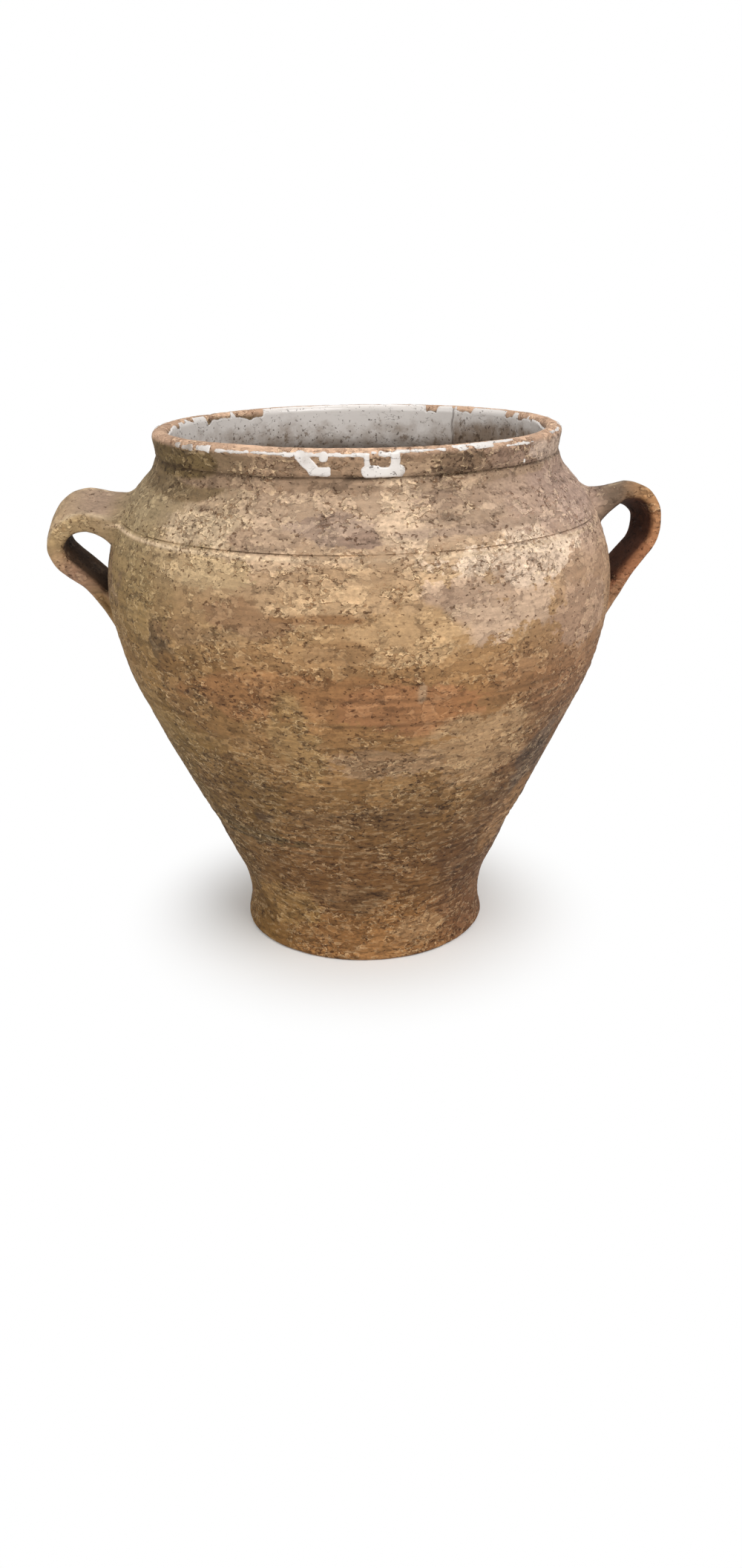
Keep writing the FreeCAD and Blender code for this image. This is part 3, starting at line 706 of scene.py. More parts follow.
def glaze_material():
    """Old white glaze: glossy, crazed and specked, with brown stains and painted shade that gather lower
    down.
    """
    material = bpy.data.materials.new("white_glaze")
    graph = Graph(material)
    place = graph.place()
    dirt_and_shade = graph.mark("dirt_and_shade")
    cloud = graph.noise(graph.warp(place, 12, 8), 20, 7, 0.65)
    # Brown stains, and painted shade where the lining's marks grow deeper below the lip.
    stain_and_shade = graph.step(graph.fit(dirt_and_shade, 0.5, cloud), 0.5, 1.05)
    colour = graph.mix(graph.times(stain_and_shade, 0.85), GLAZE_WHITE, GLAZE_STAIN_AND_SHADE)
    flat = graph.stretch(place, (1.0, 1.0, 2.4))
    craze = graph.hairline(graph.warp(flat, 14, 10), 26, 0.016, 4)
    craze = graph.times(craze, graph.step(graph.noise(place, 17, 3), 0.47, 0.62))
    mottle = graph.noise(graph.warp(place, 5, 4), 7, 5, 0.7)
    mottle = graph.step(graph.fit(dirt_and_shade, 0.14, mottle), 0.63, 0.75)
    colour = graph.mix(graph.times(mottle, 0.7), colour, MOTTLE_STAIN)
    specks = graph.step(graph.fit(dirt_and_shade, 0.07, graph.noise(place, 3.2, 2, 0.55)), 0.65, 0.71)
    lines = graph.larger(graph.times(craze, 0.55), graph.times(specks, 0.7))
    lines = graph.larger(lines, graph.mark("crack"))
    colour = graph.mix(lines, colour, SOOT)
    height = graph.fit(lines, -0.25, graph.noise(place, 14, 2, 0.5))
    graph.show(graph.node("BsdfPrincipled", {
        "Base Color": colour, "Roughness": graph.fit(stain_and_shade, 0.35, 0.15),
        "Normal": graph.bump(height, 0.7 * MM, 0.6),
    }))
    return material


place_camera()
MATERIALS = {"clay": clay_material(), "white_glaze": glaze_material()}

COLUMNS = 640
AROUND = even_angles(COLUMNS)
HIDDEN_ROWS, FOOT_INNER_ROWS = 14, 22
LINE_SPACING = 0.6 * MM


def level_rows(*spans):
    """Heights in spans: where each starts and ends, and the spacing there."""
    counts = [int(round((high - low) / spacing)) + 1 for low, high, spacing in spans]
    return np.concatenate([np.linspace(*span[:2], count) for span, count in zip(spans, counts)])


def thrown_section(name, node, heights):
    """A ring of the wall between two joints: the worn outside and the plain inside, hidden by the glaze."""
    inner = inner_rings(np.linspace(heights[-1], heights[0], HIDDEN_ROWS), AROUND)
    rings = np.concatenate([wall_points(heights, AROUND), inner])
    points = rings.reshape(-1, 3)
    new_piece(name, node, "clay", points, ring_faces(len(rings), COLUMNS, True), paint_clay(points))


def foot_piece():
    """The foot with its flat underside, rounded edge and the floor of the jar."""
    lowest = OUTSIDE[0][0]
    heights = level_rows((lowest, 8 * MM, 0.7 * MM), (9.5 * MM, FOOT_TOP, 1.7 * MM))
    rings = np.concatenate([
        disc_rings((0.3, 0.65, 0.85, 1.0), outside_radius(lowest) - 2 * MM, 0.0, AROUND),
        wall_points(heights, AROUND),
        inner_rings(np.linspace(FOOT_TOP, FLOOR_TOP + MM, FOOT_INNER_ROWS), AROUND, 0.5 * MM),
        disc_rings((0.98, 0.7, 0.4), inside_radius(FLOOR_TOP + MM), FLOOR_TOP - 0.5 * MM, AROUND),
    ])
    points = np.concatenate([rings.reshape(-1, 3), [[0, 0, 0], [0, 0, FLOOR_TOP]]])
    faces = capped_faces(len(rings), COLUMNS)
    new_piece("foot_clay", "foot_section", "clay", points, faces, paint_clay(points))


foot_piece()
lower_rows = level_rows(
    (FOOT_TOP, LINE_HEIGHT - 10 * MM, 2.0 * MM), (LINE_HEIGHT - 8 * MM, LINE_HEIGHT, LINE_SPACING),
)
upper_rows = level_rows(
    (LINE_HEIGHT, LINE_HEIGHT + 5 * MM, LINE_SPACING), (LINE_HEIGHT + 6.5 * MM, NECK_HEIGHT, 1.4 * MM),
)
thrown_section("lower_wall_clay", "lower_wall", lower_rows)
thrown_section("shoulder_clay", "shoulder_section", upper_rows)

RIM_COLUMNS, COLLAR_ROWS, MOUTH_ROWS = 720, 34, 26
RIM_AROUND = even_angles(RIM_COLUMNS)
MOUTH_END = -(LIP_FLAT + INNER_ARC + LIP_LEVEL - NECK_HEIGHT)
RIM_LUMPS = [(0.4, 34, 71), (0.2, 9, 72), (0.1, 3, 73)]


def rim_points(along, angle, lift=0.0):
    """Points of the worn rim: along the lip, round the jar, standing off the clay by lift."""
    radius, height = lip_profile(along, lift)
    stand_radius, stand_height = lip_profile(along, lift + MM)
    out_radius, out_height = (stand_radius - radius) / MM, (stand_height - height) / MM
    points = turned_points(radius + wobble(angle), height, angle)
    wear = lumps(points, RIM_LUMPS)
    edge = bell(along, 3.5 * MM, 3.0 * MM)
    wear -= 0.9 * edge * smooth_step(0.1, 0.5, cloudy(points, 9, 74))
    foot_edge = bell(along, COLLAR_END, 2.5 * MM)
    wear -= 0.8 * foot_edge * smooth_step(-0.1, 0.6, cloudy(points, 14, 75))
    sides = smooth_step(45, 80, np.abs(front_angle(points)))
    wear += 0.6 * (1 - sides) * bell(along, COLLAR_END - 2.5 * MM, 3 * MM)
    wear -= 1.6 * sides * smooth_step(0.3, 0.95, along / COLLAR_END)
    wear *= MM
    height = height + lip_rise(along, angle + 0 * along)
    return turned_points(radius + wobble(angle) + wear * out_radius, height + wear * out_height, angle)


def rim_piece():
    """The rim: up the outside of the collar, over the lip and down into the mouth."""
    outside = np.linspace(COLLAR_END, 0, COLLAR_ROWS)
    along = np.concatenate([outside, np.linspace(-0.7 * MM, MOUTH_END, MOUTH_ROWS)])
    points = rim_points(along[:, None], RIM_AROUND).reshape(-1, 3)
    faces = ring_faces(len(along), RIM_COLUMNS, True)
    new_piece("rim_clay", "rim_collar", "clay", points, faces, paint_clay(points))


rim_piece()

# Where the glaze lining ends at the lip: degrees from the back, half width, how far it is chipped down.
LINING_CHIPS = [
    (-79, 2.0, 8.0), (-73, 1.6, 5.5), (-68, 2.0, 6.0), (-54, 6.5, 10.0), (-39.5, 6.0, 10.0),
    (27, 2.6, 8.0), (35.2, 0.6, 4.5), (40, 3.4, 8.0), (61, 2.6, 7.0), (69, 3.4, 8.0), (75, 1.6, 9.0),
]
CRACK_FROM_BACK = 35.2
LINING_COLUMNS, LINING_MOUTH_ROWS, LINING_WALL_ROWS = 900, 22, 60
# How dark the chips are on the first rows of the lining.
CHIP_SHADES = (0.6, 0.75, 0.45)


def back_angle(points):
    """Degrees round the jar from its back, positive to the right."""
    return -((front_angle(points) + 360) % 360 - 180)


def lining_edge(angle):
    """How far down the inside of the lip the glaze starts, in millimetres, and where it is chipped."""
    spots = turned_points(np.full_like(angle, MOUTH_RADIUS), 0 * angle, angle)
    from_back = back_angle(spots)
    ragged = cloudy(spots, 10, 81)
    depth = 1.8 + 0.8 * ragged + (6.0 + 2.5 * ragged) * smooth_step(62, 95, np.abs(from_back + 3))
    chipped = np.zeros_like(angle)
    for centre, half_width, deep in LINING_CHIPS:
        off = np.abs(from_back - centre) / half_width + 0.3 * ragged
        chip = smooth_step(1.15, 0.85, off)
        depth = np.maximum(depth, chip * deep * (0.85 + 0.4 * ragged))
        chipped = np.maximum(chipped, chip)
    return np.maximum(depth, 0.6), chipped


def lining_rings(angle, edge_depth):
    """Rings of the lining, from behind its edge on the lip down to the floor."""
    top = -(LIP_FLAT + edge_depth * MM)
    deep = MOUTH_END * 0.9
    share = np.linspace(0, 1, LINING_MOUTH_ROWS) ** 0.8
    along = deep + share[:, None] * (top - deep)
    thick = np.minimum(GLAZE, 0.25 * MM + (top - along) * 0.9)
    radius, height = lip_profile(along)
    out_radius, out_height = lip_profile(along, MM)
    radius = radius + thick * (out_radius - radius) / MM + wobble(angle)
    height = height + thick * (out_height - height) / MM + lip_rise(along, angle + 0 * along)
    back_radius, back_height = lip_profile(along[-1], -0.3 * MM)
    back = turned_points(back_radius + wobble(angle), back_height + lip_rise(along[-1], angle), angle)
    lowest, highest = FLOOR_TOP + 2 * MM, lip_profile(deep)[1] - 2 * MM
    return np.concatenate([
        disc_rings((0.35, 0.7, 0.96), inside_radius(lowest) - GLAZE, FLOOR_TOP + GLAZE, angle),
        inner_rings(np.linspace(lowest, highest, LINING_WALL_ROWS), angle, -GLAZE),
        turned_points(radius, height, angle),
        back[None],
    ])[::-1]


def lining_marks(points, chipped):
    """Painted shade with dirt deeper below the lip, a stain on the right, one long crack, and dark lines in
    the chips along the edge.
    """
    from_back = back_angle(points)
    depth = (JAR_TOP - points[:, 2]) / MM
    right_stain = smooth_step(34.5, 37, from_back) * smooth_step(95, 60, from_back)
    right_stain *= smooth_step(3, 15, depth) * smooth_step(110, 50, depth)
    # Painted shade with dirt, darker deeper below the lip, and the stain on the right.
    dirt_and_shade = 0.44 * smooth_step(5, 20, depth) + 0.28 * smooth_step(18, 40, depth) + 0.5 * right_stain
    dirt_and_shade *= 1 - 0.4 * smooth_step(60, 150, depth)
    crack_angle = CRACK_FROM_BACK + 0.5 * grain(points, 9, 83)
    crack = 0.8 * bell(from_back, crack_angle, 0.3) * smooth_step(80, 40, depth)
    chips = np.outer(CHIP_SHADES, chipped).ravel()
    crack[:len(chips)] = np.maximum(crack[:len(chips)], chips)
    return {"dirt_and_shade": dirt_and_shade, "crack": crack}


def lining_piece():
    """The glaze inside: floor, wall, shoulder and mouth, up to its chipped edge on the lip."""
    angle = even_angles(LINING_COLUMNS)
    edge_depth, chipped = lining_edge(angle)
    rings = lining_rings(angle, edge_depth)
    points = np.concatenate([rings.reshape(-1, 3), [[0, 0, FLOOR_TOP + GLAZE]]])
    pole = len(rings) * LINING_COLUMNS
    faces = ring_faces(len(rings), LINING_COLUMNS, False)
    faces += cap_faces(LINING_COLUMNS, pole - LINING_COLUMNS, pole, True)
    new_piece("lining_glaze", "glaze_lining", "white_glaze", points, faces, lining_marks(points, chipped))


lining_piece()

# Glaze left on the outside of the rim, in millimetres: across from the front, down from the lip's edge.
# Streaks: left, right, upper and lower edge.
STREAKS = [
    (-153, -147, 4.4, 7.2), (-144, -131, 4.8, 7.8), (-127, -112, 3.8, 8.0), (-107, -80, 5.8, 7.3),
    (-82, -43, 5.4, 7.1), (-52, -30, 4.8, 7.6), (-29, -11, 4.6, 6.6), (-4, 7, 4.4, 6.4),
    (9.5, 13, 4.2, 6.2),
    (15, 23, 3.6, 5.8), (26.5, 36, 3.4, 5.4), (37, 62, 3.2, 5.2), (68, 100, 0.8, 3.6), (72, 81, 3.8, 5.6),
    (85, 101, 4.0, 5.8), (92, 124, 0.2, 2.8), (114, 146, 5.6, 7.0), (-42, 8.5, 5.6, 7.6), (14, 29, 4.8, 7.2),
]
# Runs: rounded blocks of centre, half sizes and corner rounding; bare ones are taken out again.
RUNS = [
    (-26.0, 17.0, 7.7, 3.1, 1.6),
    (-22.8, 7.4, 3.1, 3.5, 3.0),
    (17.5, 17.0, 15.0, 4.0, 3.6),
    (25.9, 10.2, 3.3, 5.4, 1.0),
    (6.6, 9.6, 2.1, 4.4, 1.0),
    (133.4, 18.6, 0.9, 1.4, 0.6),
]
SLANTED_RUN = ((-39.0, 7.0), (-30.6, 15.4), 4.0)
BARE_SPOTS = [(11.2, 8.6, 2.8, 2.9, 1.0), (18.2, 11.2, 4.2, 3.0, 1.6)]
SKIN_CELL = 0.45
SKIN_REACH = (-3.0, 21.5)
SKIN_LEFT = -170.0
SKIN_THICK, SKIN_EDGE, SKIN_SUNK = 0.65 * MM, 0.04 * MM, 0.25 * MM
# How the border is moved: times, step for its slope, longest move.
SETTLE_TIMES, SETTLE_STEP, SETTLE_MOVE = 3, 0.05, 0.15


def block_depth(across, down, block):
    """How deep inside a rounded block a spot lies, negative outside it."""
    centre, middle, half_across, half_down, rounding = block
    side = np.abs(across - centre) - half_across + rounding
    end = np.abs(down - middle) - half_down + rounding
    outside = np.hypot(np.maximum(side, 0), np.maximum(end, 0))
    return rounding - outside - np.minimum(np.maximum(side, end), 0)


def slant_depth(across, down):
    (start_across, start_down), (end_across, end_down), half_width = SLANTED_RUN
    run, fall = end_across - start_across, end_down - start_down
    share = ((across - start_across) * run + (down - start_down) * fall) / (run * run + fall * fall)
    share = np.clip(share, 0, 1)
    return half_width - np.hypot(across - start_across - share * run, down - start_down - share * fall)


def far_streaks():
    """Streaks on the side that the photograph doesn't show, of the same kind."""
    chance = np.random.default_rng(9)
    streaks, place = [], 178.0
    while place < 770:
        length = chance.uniform(5, 34)
        top = chance.uniform(1.5, 3.5)
        streaks.append((place, place + length, top, top + chance.uniform(1.4, 3.0)))
        place += length + chance.uniform(3, 24)
    return streaks


ALL_STREAKS = [
    ((left + right) / 2, (high + low) / 2, (right - left) / 2, (low - high) / 2, min(0.9, (low - high) / 2))
    for left, right, high, low in STREAKS + far_streaks()
]


def skin_depth(across, down):
    """How deep inside the glaze a spot on the rim lies, in millimetres, with ragged edges."""
    spots = np.stack([across, down, 0 * across], axis=-1) * MM
    wear_and_edge_light = 1.1 * cloudy(spots * np.array([0.6, 1, 1]), 4.0, 93)
    depth = np.full(across.shape, -9.0)
    for blocks, ragged in ((ALL_STREAKS, wear_and_edge_light), (RUNS, 0 * wear_and_edge_light)):
        for block in blocks:
            near = np.abs(across - block[0]) < block[2] + 6
            found = block_depth(across[near], down[near], block) + ragged[near]
            depth[near] = np.maximum(depth[near], found)
    depth = np.maximum(depth, slant_depth(across, down))
    for spot in BARE_SPOTS:
        depth = np.minimum(depth, -block_depth(across, down, spot))
    return depth + 0.5 * cloudy(spots, 3.2, 91)


def settled(across, down):
    """Spots on the border, slid to where the glaze really ends."""
    for _ in range(SETTLE_TIMES):
        right, left = skin_depth(across + SETTLE_STEP, down), skin_depth(across - SETTLE_STEP, down)
        below, above = skin_depth(across, down + SETTLE_STEP), skin_depth(across, down - SETTLE_STEP)
        slope_across, slope_down = (right - left) / (2 * SETTLE_STEP), (below - above) / (2 * SETTLE_STEP)
        share = skin_depth(across, down) / np.maximum(slope_across ** 2 + slope_down ** 2, 0.2)
        across = across - np.clip(share * slope_across, -SETTLE_MOVE, SETTLE_MOVE)
        down = down - np.clip(share * slope_down, -SETTLE_MOVE, SETTLE_MOVE)
    return across, down


def skin_faces(used, chosen):
    """Faces of the skin over its chosen cells, front and back, and of the walls along its borders."""
    count = int(used.sum())
    number = -np.ones(used.shape, int)
    number[used] = np.arange(count)
    faces, edges = [], {}
    for row, column in np.argwhere(chosen):
        after = (column + 1) % used.shape[1]
        corners = (row, column), (row + 1, column), (row + 1, after), (row, after)
        quad = [int(number[corner]) for corner in corners]
        faces.append(tuple(quad))
        faces.append(tuple(one + count for one in quad[::-1]))
        for start, end in zip(quad, quad[1:] + quad[:1]):
            if not edges.pop((end, start), False):
                edges[(start, end)] = True
    return faces + [(end, start, start + count, end + count) for start, end in edges]


def rim_glaze_piece():
    """A thin skin over the rim where any glaze is left, rounded off at its ragged edge."""
    radius = OUTER_CENTRE + LIP_ROUND
    around_length = FULL_TURN * radius / MM
    columns = int(around_length / SKIN_CELL)
    rows = int((SKIN_REACH[1] - SKIN_REACH[0]) / SKIN_CELL)
    across, down = np.meshgrid(
        SKIN_LEFT + np.arange(columns) * (around_length / columns),
        SKIN_REACH[0] + np.arange(rows) * SKIN_CELL,
    )
    depth = skin_depth(across, down)
    pairs = depth + np.roll(depth, -1, axis=1)
    chosen = pairs[:-1] + pairs[1:] > 0
    touched = np.zeros((rows, columns), int)
    for step_down, step_across in product((0, 1), repeat=2):
        touched[step_down:rows - 1 + step_down] += np.roll(chosen, step_across, axis=1)
    used = touched > 0
    border = used & (touched < 4)
    across[border], down[border] = settled(across[border], down[border])
    inside = np.maximum(skin_depth(across, down), 0)
    lift = SKIN_THICK * np.sqrt(np.clip(inside / 0.9, 0, 1))
    lift[border] = SKIN_EDGE
    angle = FRONT + across * MM / radius
    front = rim_points(down * MM, angle)
    normal = rim_points(down * MM, angle, 0.5 * MM) - front
    normal /= np.maximum(np.linalg.norm(normal, axis=-1, keepdims=True), 1e-9)
    top = front + normal * lift[..., None]
    bottom = front - normal * SKIN_SUNK
    points = np.concatenate([top[used], bottom[used]])
    yellowed = smooth_step(-124, -132, across)
    stains = 0.1 + 0.25 * np.clip(cloudy(front, 12, 95), 0, 1) + 0.6 * yellowed
    marks = {"dirt_and_shade": np.tile(stains[used], 2), "crack": np.zeros(len(points))}
    new_piece("rim_remnant_glaze", "rim_glaze", "white_glaze", points, skin_faces(used, chosen), marks)


rim_glaze_piece()

# The pulled handles: straps that rise from the shoulder, bend over and run down into the wall.
STRAP_HEIGHT = NECK_HEIGHT - 40.2 * MM
BEND_RADIUS = 25 * MM
HANDLE_LEAN = math.radians(11)
TAIL_LENGTH = 60 * MM
TAIL_SPREAD = 3
STRAP_HALF_WIDE = 27.0
# The strap's section lies between an oval (1) and a block (0).
STRAP_SQUARE = 0.42
STRAP_CORNERS = 72
ROOT_DEPTH = 3 * MM
ROOT_ROWS, BEND_ROWS, TAIL_ROWS = 30, 44, 40
# Places across the root, from inside the wall to the bend, and what both straps reach there in millimetres.
ROOT_SPOTS = np.array([176, 190, 197, 204, 211.75]) * MM
BEND_ACROSS = ROOT_SPOTS[-1]
ROOT_INWARD, ROOT_OUTWARD, ROOT_SPREAD = (40, 27), (3.2, 3.2, 4.0, 5.6), (6, 2, 0)
# Each strap was pulled by hand, so the two differ. rise and fall: heights of the bend above and below its
# middle. slope: of the tail. lean: at the top and at the tail. inward: reach at three places on the root and
# three on the bend. outward: reach at the top, the bend and the tail's two ends. edges: colours from the root
# to the tail.
# The colour inside each loop is soot with painted shade.
RIGHT_STRAP = {
    "turn": 0.0, "rise": 20 * MM, "fall": 29 * MM, "slope": 48, "lean": (14, 6), "skew": 0.08,
    "inward": (20, 14.5, 8.8, 6.8, 6.4, 5.0), "outward": (7.25, 2.6, 4.2, 4.8), "seed": 101,
    "back": (116, 99, 86), "dirt_and_shade": (94, 58, 40),
    "edges": [
        (0.0, (120, 102, 86)), (0.22, (124, 104, 86)), (0.36, (178, 137, 96)), (0.66, (170, 116, 80)),
        (1.0, (150, 101, 73)),
    ],
}
LEFT_STRAP = {
    "turn": math.pi, "rise": 25 * MM, "fall": 22 * MM, "slope": 47, "lean": (15.5, 5), "skew": 0.0,
    "inward": (17.5, 12.4, 10.0, 8.6, 7.0, 6.4), "outward": (7.25, 8.0, 8.6, 3.8), "seed": 121,
    "back": (160, 137, 117), "dirt_and_shade": (86, 64, 45),
    "edges": [
        (0.0, (150, 126, 100)), (0.3, (176, 150, 112)), (0.5, (174, 146, 106)), (0.7, (160, 126, 102)),
        (1.0, (146, 118, 86)),
    ],
}
# The colour of the painted highlight along the handles' front corners.
CORNER_HIGHLIGHT = linear(206, 184, 152)


def smooth_between(spots, values, wanted):
    """A smooth curve through a few values, with a slope at each that its neighbours set."""
    slopes = np.gradient(values, spots)
    index = np.clip(np.searchsorted(spots, wanted) - 1, 0, len(spots) - 2)
    width = np.diff(spots)[index]
    share = (wanted - np.array(spots)[index]) / width
    low, high = np.array(values)[index], np.array(values)[index + 1]
    lean = (1 - share) * slopes[index] - share * slopes[index + 1]
    return low + smooth_step(0, 1, share) * (high - low) + width * share * (1 - share) * lean


def strap_path(strap):
    """Along a strap, from root to tail: centres and outward directions in the upright plane, the reach
    inwards, outwards and sideways, and how far the strap has turned from its top to its tail, 0 to 1."""
    slope = math.radians(strap["slope"])
    last = math.pi - math.atan(BEND_RADIUS * math.tan(slope) / strap["fall"])
    root = np.linspace(ROOT_SPOTS[0], BEND_ACROSS, ROOT_ROWS)
    bend = np.linspace(0, last, BEND_ROWS)[1:]
    tail = np.linspace(0, 1, TAIL_ROWS)[1:]
    fall = np.where(bend < math.pi / 2, strap["rise"], strap["fall"])
    middle = np.array([BEND_ACROSS, STRAP_HEIGHT - strap["rise"]])
    bent = middle + np.stack([BEND_RADIUS * np.sin(bend), fall * np.cos(bend)], -1)
    facing = np.stack([fall * np.sin(bend), BEND_RADIUS * np.cos(bend)], -1)
    facing /= np.linalg.norm(facing, axis=1, keepdims=True)
    onward = np.array([facing[-1, 1], -facing[-1, 0]])
    centres = np.concatenate([
        np.stack([root, np.full_like(root, STRAP_HEIGHT)], -1),
        bent,
        bent[-1] + tail[:, None] * TAIL_LENGTH * onward,
    ])
    outward = np.concatenate([
        np.tile([0.0, 1.0], (len(root), 1)), facing, np.tile(facing[-1], (len(tail), 1)),
    ])
    inner, (top_out, bend_out, tail_out, end_out) = strap["inward"], strap["outward"]
    inward = np.concatenate([
        smooth_between(ROOT_SPOTS, [*ROOT_INWARD, *inner[:3]], root),
        smooth_between([0, 0.5, math.pi / 2, last], inner[2:], bend),
        np.full(len(tail), inner[-1]),
    ])
    outreach = np.concatenate([
        smooth_between(ROOT_SPOTS, [*ROOT_OUTWARD, top_out], root),
        smooth_between([0, math.pi / 2, last], [top_out, bend_out, tail_out], bend),
        tail_out + (end_out - tail_out) * smooth_step(0, 0.55, tail),
    ])
    sideways = STRAP_HALF_WIDE + np.concatenate([
        np.interp(root, ROOT_SPOTS[::2], ROOT_SPREAD), 0 * bend, TAIL_SPREAD * tail,
    ])
    turned = np.concatenate([0 * root, smooth_step(0.6, 2.0, bend), np.ones(len(tail))])
    return centres, outward, inward * MM, outreach * MM, sideways * MM, turned


def leaned(points, lean):
    """Points of an upright plane leaned about the level line across it, row by row."""
    along, across, up = points[..., 0], points[..., 1], points[..., 2]
    cosine, sine = np.cos(lean), np.sin(lean)
    return np.stack([along, across * cosine + up * sine, up * cosine - across * sine], -1)


def squared(wave):
    """A wave with flatter tops, for the strap's section."""
    return np.sign(wave) * np.abs(wave) ** STRAP_SQUARE


STRAP_PHASE = even_angles(STRAP_CORNERS)
STRAP_WIDE = squared(np.cos(STRAP_PHASE))
STRAP_THICK = squared(np.sin(STRAP_PHASE))


def smear_root(points, push, turned):
    """Clay smeared on round the roots, wide below the tail, sliding along the wall; ends stay in the wall."""
    def wall_at(height):
        return outside_radius(height) - hollows(height)

    gap = np.hypot(points[..., 0], points[..., 1]) - wall_at(points[..., 2])
    outer, inner = smooth_step(0.2, 0.9, STRAP_THICK), smooth_step(0.2, 0.9, -STRAP_THICK)
    smear = (5 + (1 + 17 * turned[:, None]) * outer - 2.5 * inner) * MM
    near = np.clip(smear - np.maximum(gap, 0), 0, None)
    fillet = smear - np.sqrt(np.maximum(smear ** 2 - near ** 2, 0))
    points = points + fillet[..., None] * push
    radius = np.hypot(points[..., 0], points[..., 1])
    kept = radius + near / smear * (wall_at(points[..., 2]) + gap - radius)
    kept = np.maximum(kept, inside_radius(points[..., 2]) + ROOT_DEPTH)
    points[..., :2] *= (kept / radius)[..., None]
    return points, gap


def strap_rings(strap):
    """Rings of points along a strap, and how far each point lies off the wall."""
    centres, outward, inward, outreach, sideways, turned = strap_path(strap)
    off = ((outreach - inward) / 2)[:, None] + ((outreach + inward) / 2)[:, None] * STRAP_THICK
    deep = sideways[:, None] * STRAP_WIDE
    section = np.stack([off * outward[:, :1], deep, off * outward[:, 1:]], -1)
    section[..., 0] -= strap["skew"] * deep * np.linspace(0, 2, len(centres)).clip(0, 1)[:, None]
    top_lean, tail_lean = np.radians(strap["lean"])
    lean = (top_lean + turned * (tail_lean - top_lean))[:, None]
    across, out = np.cos(STRAP_PHASE), np.sin(STRAP_PHASE)
    push = np.stack([out * outward[:, :1], across + 0 * outward[:, :1], out * outward[:, 1:]], -1)
    push = leaned(push, lean)
    pivot = STRAP_HEIGHT - BEND_RADIUS
    spine = np.stack([centres[:, 0], 0 * turned, centres[:, 1] - pivot], -1)
    points = leaned(spine, HANDLE_LEAN)[:, None, :] + leaned(section, lean)
    points[..., 2] += pivot
    points, gap = smear_root(points, push, turned)
    spin = np.array(Matrix.Rotation(strap["turn"], 3, "Z")).T
    points = points @ spin
    seed = strap["seed"]
    uneven = lumps(points, [(0.8, 26, seed), (0.4, 9, seed + 1), (0.15, 4, seed + 2)])
    uneven *= smooth_step(0, 4 * MM, gap) * MM
    return points + uneven[..., None] * (push @ spin), gap


def handle_marks(points, gap, strap):
    """Greyer on the back, warmer along the edges with a painted highlight on the front corner, dirty and
    painted with shade inside the loop, like the wall at the roots.
    """
    def at_points(values):
        return np.append((values + 0 * gap).ravel(), [0, 0])

    inside = at_points(smooth_step(0.2, -0.75, STRAP_THICK))
    edge = at_points(smooth_step(0.75, 0.97, np.abs(STRAP_WIDE)))
    corner = at_points(bell(np.abs(np.degrees(STRAP_PHASE) - 90), 40, 13))
    close = at_points(smooth_step(26 * MM, 0, gap))
    along = at_points(np.linspace(0, 1, len(gap))[:, None])
    wall = paint_clay(points)
    cloud = cloudy(points, 18, 55)
    side = tone_between(linear_tones(strap["edges"]), along)
    back = toward(linear(*strap["back"]), side, 0.7 * smooth_step(0.2, 0.45, along))
    ground = toward(back, side, edge) * (1 + 0.25 * cloud)[:, None]
    # A painted highlight along the front corner.
    wear_and_edge_light = 0.6 * corner * smooth_step(-0.3, 0.3, cloudy(points, 9, 58))
    ground = toward(ground, CORNER_HIGHLIGHT, wear_and_edge_light)
    # Painted shade with soot inside the loop, on the inner face.
    soot_and_shade = np.clip(inside * (1 - 0.85 * edge) * (1.1 + 0.5 * cloud), 0, 1)
    ground = toward(ground, linear(*strap["dirt_and_shade"]), soot_and_shade)
    ground = toward(ground, wall["ground"], close ** 2 * 0.85 * (1 - inside))
    return {
        "ground": ground, "patch": ground, "cover": 0 * cloud,
        "flakes": 0.3 * wall["flakes"] - 0.5 - 0.5 * soot_and_shade, "dirt_and_shade": 0.15 + 0.3 * soot_and_shade, "calm": 0 * cloud,
    }


def handle_piece(name, node, strap):
    """A strap handle, closed at both ends inside the wall."""
    rings, gap = strap_rings(strap)
    points = np.concatenate([rings.reshape(-1, 3), rings[[0, -1]].mean(axis=1)])
    faces = capped_faces(len(rings), STRAP_CORNERS)
    new_piece(name, node, "clay", points, faces, handle_marks(points, gap, strap))


handle_piece("handle_right_clay", "handle_right", RIGHT_STRAP)
handle_piece("handle_left_clay", "handle_left", LEFT_STRAP)

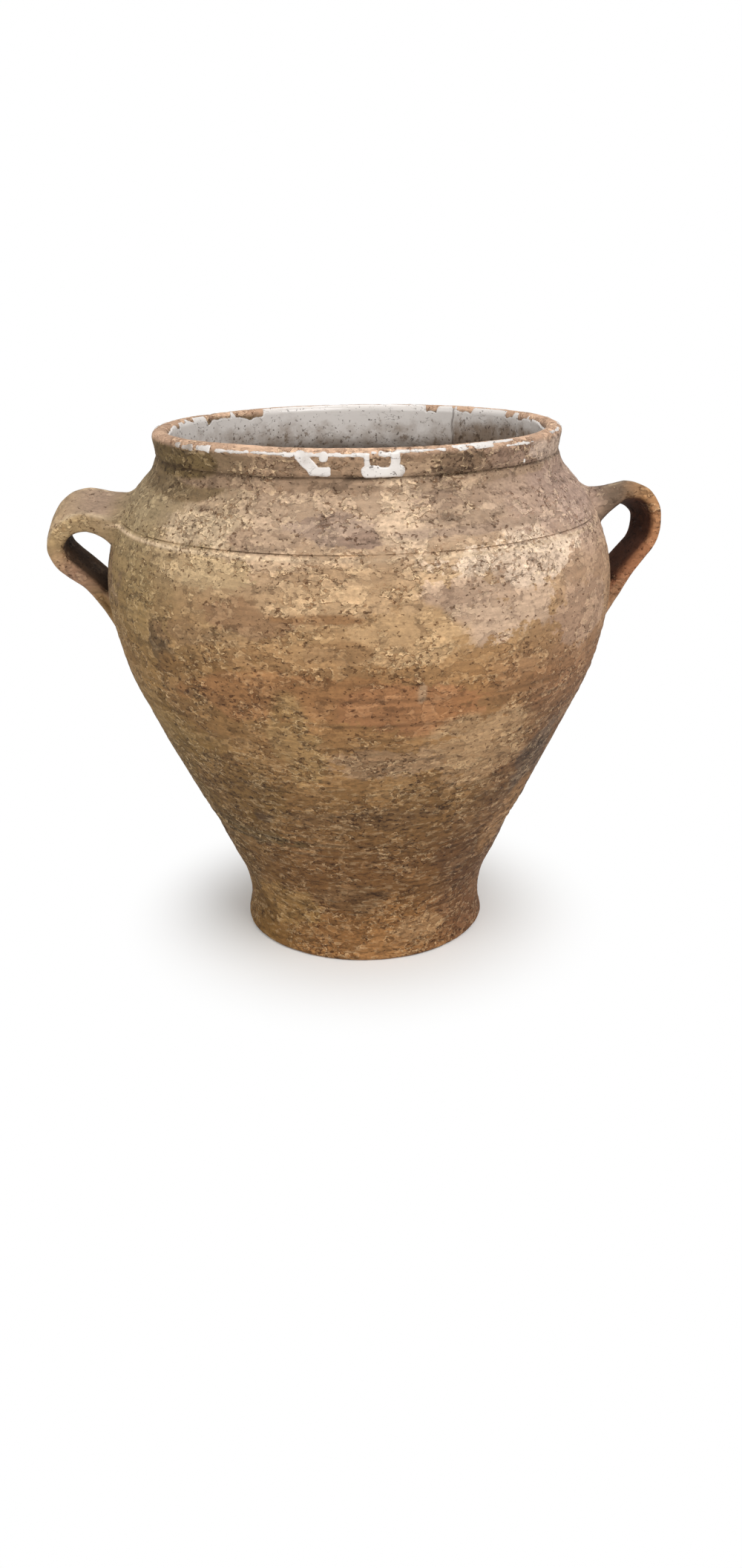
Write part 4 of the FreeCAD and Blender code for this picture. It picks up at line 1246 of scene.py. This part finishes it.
# The floor, the light and the white background.
FLOOR_HALF = 6.0
FLOOR_TONES = (0.86, 0.86, 0.85), (0.9, 0.9, 0.895)
FADE_START, FADE_END = 0.09, 0.22
SKY_TINT, SKY_STRENGTH = (1.0, 0.985, 0.96), 0.56
WHITE = (1, 1, 1)
LAMP_AIM = Vector((0, 0, 0.25))
# Lamps: name, place, size and power.
LAMPS = [
    ("key", (0.9, -1.5, 1.9), 1.6, 34),
    ("fill", (-1.6, -1.3, 1.2), 1.8, 14),
    ("top", (0.1, 0.5, 2.2), 1.4, 12),
]


def floor_material():
    """A pale floor that fades to white away from the jar, where it is seen directly."""
    material = bpy.data.materials.new("pale_floor")
    graph = Graph(material)
    place = graph.place()
    diffuse = graph.node("BsdfDiffuse", {"Color": graph.mix(graph.noise(place, 350, 3, 0.5), *FLOOR_TONES)})
    distance = graph.node("VectorMath", {0: place}, operation="LENGTH").outputs["Value"]
    seen = graph.node("LightPath").outputs["Is Camera Ray"]
    fade = graph.times(graph.step(distance, FADE_START, FADE_END), seen)
    graph.show_both(fade, diffuse, graph.node("Emission"))
    return material


def add_floor():
    mesh = bpy.data.meshes.new("floor")
    corners = [(-1, -1), (1, -1), (1, 1), (-1, 1)]
    mesh.from_pydata([(x * FLOOR_HALF, y * FLOOR_HALF, 0) for x, y in corners], [], [(0, 1, 2, 3)])
    mesh.materials.append(floor_material())
    floor = add_object("floor", mesh)


def add_lamp(name, spot, size, power):
    data = bpy.data.lights.new(name, "AREA")
    data.shape = "DISK"
    data.size = size
    data.energy = power
    lamp = add_object(name, data)
    lamp.location = spot
    lamp.rotation_euler = (LAMP_AIM - Vector(spot)).to_track_quat("-Z", "Y").to_euler()


def light_world():
    """Soft light from all round, and a white background where it is seen directly."""
    world = bpy.data.worlds.new("studio")
    bpy.context.scene.world = world
    graph = Graph(world, "OutputWorld")
    soft = graph.node("Background", {"Color": SKY_TINT, "Strength": SKY_STRENGTH})
    white = graph.node("Background", {"Color": WHITE})
    graph.show_both(graph.node("LightPath").outputs["Is Camera Ray"], soft, white)


add_floor()
light_world()
for lamp_values in LAMPS:
    add_lamp(*lamp_values)
bpy.context.scene.view_settings.view_transform = "Standard"
